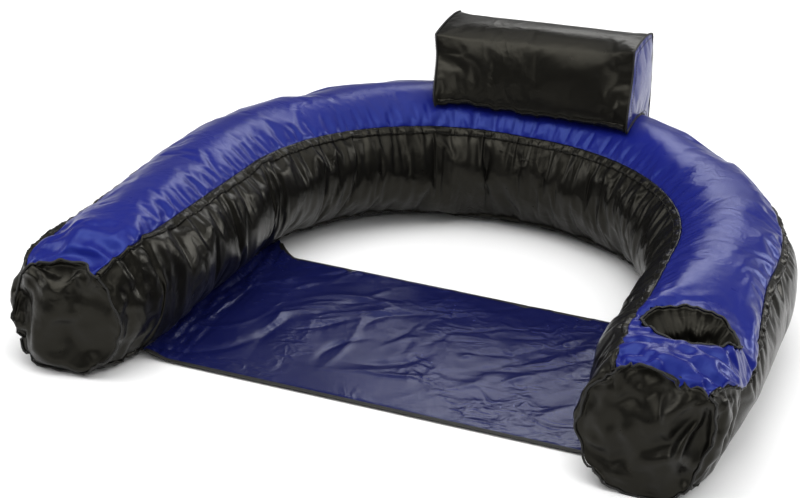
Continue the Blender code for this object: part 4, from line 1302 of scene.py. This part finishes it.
def makeSkirt(wrap):
    # the strip that sews the pillow's front edge to the cover
    strip = finerRows(wrap[1:-1, 0:4], 3)
    normal = np.cross(np.gradient(strip, axis=0), np.gradient(strip, axis=1))
    normal /= np.linalg.norm(normal, axis=2)[:, :, None]
    normal *= -np.sign(normal[..., 1].mean())
    strip = strip + normal * pillow["skirtLift"]
    piece = gridPiece("headrestSkirt", strip, looks["blackNylon"])
    outward(piece)
    thicken(piece, pillow["skirtWall"], levels=0)
    foldWith(piece)
    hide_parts("headrest_hinge_strip")
    thread = stitches("headrestSkirtStitches", strip[:, 2], normal[:, 2], looks["thread"])
    foldWith(thread)


def pillowMesh():
    # the closed pillow before it is filled: object, points, and the point numbers of each end
    cellsX, cellsY, cellsZ = pillow["cells"]
    up = [2 * k / cellsZ - 1 for k in range(cellsZ)]
    back = [2 * k / cellsY - 1 for k in range(cellsY)]
    section = [(-1, z) for z in up] + [(y, 1) for y in back]
    section += [(1, -z) for z in up] + [(-y, -1) for y in back]
    ring = len(section)
    wide = [2 * row / cellsX - 1 for row in range(cellsX + 1)]
    verts = [pillowPoint(x, y, z) for x in wide for y, z in section]
    hold = [1.0 if abs(x) == 1 or z < -0.99 else 0.0 for x in wide for y, z in section]
    for index, place in enumerate(verts):
        if (place - pillowWindow["centre"]).length < pillowWindow["still"]:
            hold[index] = 1.0
    taut = [0.5 + 0.5 * (1 - abs(x) ** 4) for x in wide for _ in section]
    faces = [(r * ring + c, r * ring + (c + 1) % ring, (r + 1) * ring + (c + 1) % ring, (r + 1) * ring + c)
             for r in range(cellsX) for c in range(ring)]
    at = {(round((y + 1) * cellsY / 2), round((z + 1) * cellsZ / 2)): k for k, (y, z) in enumerate(section)}
    endNumbers = {}
    for side, row in ((-1, 0), (1, cellsX)):
        numbers = np.zeros((cellsY + 1, cellsZ + 1), int)
        for i in range(cellsY + 1):
            for j in range(cellsZ + 1):
                if (i, j) in at:
                    numbers[i, j] = row * ring + at[(i, j)]
                    continue
                numbers[i, j] = len(verts)
                place = pillowPoint(side, 2 * i / cellsY - 1, 2 * j / cellsZ - 1)
                verts.append(place + Vector((0.0006 * noise.noise(place * 60), 0, 0)))
                hold.append(0.0)
                taut.append(0.6)
        endNumbers[side] = numbers
        for i in range(cellsY):
            for j in range(cellsZ):
                quad = (numbers[i, j], numbers[i + 1, j], numbers[i + 1, j + 1], numbers[i, j + 1])
                faces.append(tuple(int(n) for n in (quad if side > 0 else quad[::-1])))
    mesh = bpy.data.meshes.new("pillowSkin")
    mesh.from_pydata([tuple(vert) for vert in verts], [], faces)
    bm = bmesh.new()
    bm.from_mesh(mesh)
    bmesh.ops.recalc_face_normals(bm, faces=bm.faces)
    bm.to_mesh(mesh)
    bm.free()
    piece = bpy.data.objects.new("pillowSkin", mesh)
    scene.collection.objects.link(piece)
    weights(piece, "hold", hold)
    weights(piece, "taut", taut)
    return piece, np.array([tuple(vert) for vert in verts]), endNumbers


def makeWrap(wrap):
    piece = gridPiece("headrestWrap", wrap, looks["blackNylon"])
    outward(piece)
    wrapTree = treeOf(wrap.reshape(-1, 3), [tuple(face.vertices) for face in piece.data.polygons])
    cutWindow(piece, pillowWindow, wrapTree)
    thicken(piece, pillow["wall"])
    foldWith(piece)
    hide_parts("headrest_wrap")
    piece = windowBinding("headrestWindowBinding", pillowWindow, wrapTree)
    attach(piece, "headrest")


def makePillowEnd(points, rim, side, word):
    # a blue end panel with its piping and stitches; side is -1 on the left and 1 on the right
    piece = gridPiece("headrestEnd" + word.title(), points, looks["blueNylon"])
    outward(piece)
    thicken(piece, pillow["wall"])
    foldWith(piece)
    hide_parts("headrest_end_" + word)
    out = rim - rim.mean(0)
    out /= np.linalg.norm(out, axis=1)[:, None]
    piece = bead("headrestPiping" + word.title(), rim + out * pillow["pipingOut"],
                 pillow["pipingRadius"], pillow["pipingRadius"], looks["binding"],
                 up=np.tile((1.0, 0.0, 0.0), (len(rim), 1)))
    foldWith(piece)
    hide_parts("headrest_piping_" + word)
    normal = np.tile((float(side), 0.0, 0.0), (len(rim), 1))
    thread = stitches("headrestEndStitches" + word.title(), rim - out * pillow["stitchIn"] + normal * 0.0035,
                      normal, looks["thread"])
    foldWith(thread)


def makePillow():
    piece, start, endNumbers = pillowMesh()
    puffed = start
    puffed = inflate(piece, pillow["pressure"], pillow["frames"], pillow["oversize"])
    puffed = seat(puffed, np.full(len(start), pillow["travel"]), start)
    bpy.data.objects.remove(piece)
    cellsX, cellsY, cellsZ = pillow["cells"]
    rows, ring = cellsX + 1, 2 * (cellsY + cellsZ)
    wrap = puffed[:rows * ring].reshape(rows, ring, 3)
    wrap = np.concatenate([wrap, wrap[:, :1]], 1)
    makeWrap(wrap)
    makeSkirt(wrap)
    for side, word in ((-1, "left"), (1, "right")):
        makePillowEnd(puffed[endNumbers[side]], wrap[0 if side < 0 else -1, :-1], side, word)


def outward(piece):
    # turns an open puffed panel's faces away from the pillow's middle
    middle = Vector((0, (pillow["front"] + pillow["rear"]) / 2, (pillow["topLeft"] + pillow["foot"]) / 2))
    total = sum((face.center - middle).dot(face.normal) * face.area for face in piece.data.polygons)
    if total < 0:
        piece.data.flip_normals()


makePillow()
print("headrest filled")


# air bladders: vinyl skins a little slack inside the cover and the pillow

bladder = {
    "inset": 0.0085,       # mean gap that the swollen cover leaves round the main bladder
    "atValve": 0.0010,
    "endInset": 0.036,     # more room at the slack ends of the arms
    "cupInset": 0.030,     # and under the cup pocket
    "pillowInset": 0.010,
}


def bladderCopy(node, name):
    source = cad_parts[node]
    mesh = source.data.copy()
    mesh.materials.clear()
    mesh.materials.append(looks["bladderVinyl"])
    piece = bpy.data.objects.new(name, mesh)
    scene.collection.objects.link(piece)
    bm = bmesh.new()
    bm.from_mesh(mesh)
    bmesh.ops.remove_doubles(bm, verts=bm.verts, dist=0.00002)
    bm.to_mesh(mesh)
    bm.free()
    return piece


def finishBladder(piece, points, node, body):
    piece.data.vertices.foreach_set("co", points.astype(np.float32).ravel())
    piece.data.update()
    bpy.ops.object.select_all(action="DESELECT")
    piece.select_set(True)
    bpy.context.view_layer.objects.active = piece
    bpy.ops.object.shade_smooth_by_angle(angle=math.radians(50))
    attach(piece, body)
    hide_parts(node)


def makeMainBladder():
    piece = bladderCopy("main_bladder", "mainBladder")
    points = np.array([tuple(vert.co) for vert in piece.data.vertices])
    ways = np.linspace(0, runLength, 700)
    x, y, _, _, _, height, share = stations(ways)
    full = tube["radiusBack"] + (radiusEnd - tube["radiusBack"]) * share
    flat = math.cos(math.radians(tube["flatAngle"]))
    drawn = (full * flat - height) / flat      # how much thinner the soft ends are
    straightX = np.where(ways < tube["armLength"], armSpacing, x)
    straightX = np.where(ways > runLength - tube["armLength"], -armSpacing, straightX)
    cadMiddles = np.stack([straightX, y, full * flat], 1)
    nearest = np.argmin(np.linalg.norm(points[:, None, :2] - cadMiddles[None, :, :2], axis=2), 1)
    middle = np.stack([x, y, height], 1)[nearest]
    away = smoothStep(0.03, 0.06, valveGap(points))
    inset = bladder["atValve"] + (bladder["inset"] - bladder["atValve"]) * away
    inset = inset + 1.3 * drawn[nearest]
    points = middle + (points - cadMiddles[nearest]) * (1 - inset / full[nearest])[:, None]
    points[:, 1] += bladder["endInset"] * smoothStep(0.085, 0.0, points[:, 1] - frontY)
    ratio = np.hypot(*cupPlace(points[:, 0], points[:, 1]))
    high = smoothStep(0.095, 0.135, points[:, 2])
    points[:, 2] -= bladder["cupInset"] * smoothStep(1.7, 1.2, ratio) * high
    finishBladder(piece, points, "main_bladder", "float")


def makeHeadrestBladder():
    piece = bladderCopy("headrest_bladder", "headrestBladder")
    points = np.array([tuple(vert.co) for vert in piece.data.vertices])
    low, high = points.min(0), points.max(0)
    middle = (low + high) / 2
    valve = np.array(tuple(pillowWindow["centre"]))
    away = smoothStep(0.030, 0.055, np.linalg.norm(points - valve, axis=1))
    shrink = 1 - 2 * bladder["pillowInset"] / (high - low)
    squeezed = middle + (points - middle) * shrink
    points = points + (squeezed - points) * away[:, None]
    finishBladder(piece, points, "headrest_bladder", "headrest")


makeMainBladder()
makeHeadrestBladder()
print("bladders in")


# the zip in the left arm: woven tapes here, teeth and slider from the frame

zipper = {
    "start": 0.060,       # from the arm's end
    "length": 0.248,
    "tape": 0.012,
    "slit": 0.0012,
    "lift": 0.0009,
    "wall": 0.0006,
}
looks["zipTape"] = clothLook("zipTape", (0.006, 0.006, 0.0055), (0.013, 0.0125, 0.011), 0.6, 0.3,
                             threads=900.0, creaseDepth=0.0001)


def makeZipTapes():
    ways = runLength - np.linspace(zipper["start"], zipper["start"] + zipper["length"], 120)
    for word, side in (("upper", -1), ("lower", 1)):
        offsets = np.linspace(zipper["slit"] / 2, zipper["slit"] / 2 + zipper["tape"], 7)
        radius = stations(ways)[4][:, None]
        angles = cover["seams"]["outerBottom"][0] + side * np.degrees(offsets[None, :] / radius)
        points = skin(ways[:, None], angles, zipper["lift"])
        piece = gridPiece("zipTape" + word.title(), points, looks["zipTape"], flip=(side < 0))
        thicken(piece, zipper["wall"], levels=0)
        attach(piece, "float")
        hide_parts("zip_tape_" + word)


makeZipTapes()


# finishes for the pieces that come straight from the frame

for name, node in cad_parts.items():
    if name.startswith(("main_valve_flap", "headrest_valve_flap")):
        look = looks["flapVinyl"]
    elif "valve" in name:
        look = looks["valveVinyl"]
    elif name in ("zip_slider", "zip_pull"):
        look = looks["sliderMetal"]
    elif name.startswith(("zip_teeth", "zip_stop")):
        look = looks["zipPlastic"]
    else:
        continue
    node.data.materials.clear()
    node.data.materials.append(look)
print("zip and valves finished")
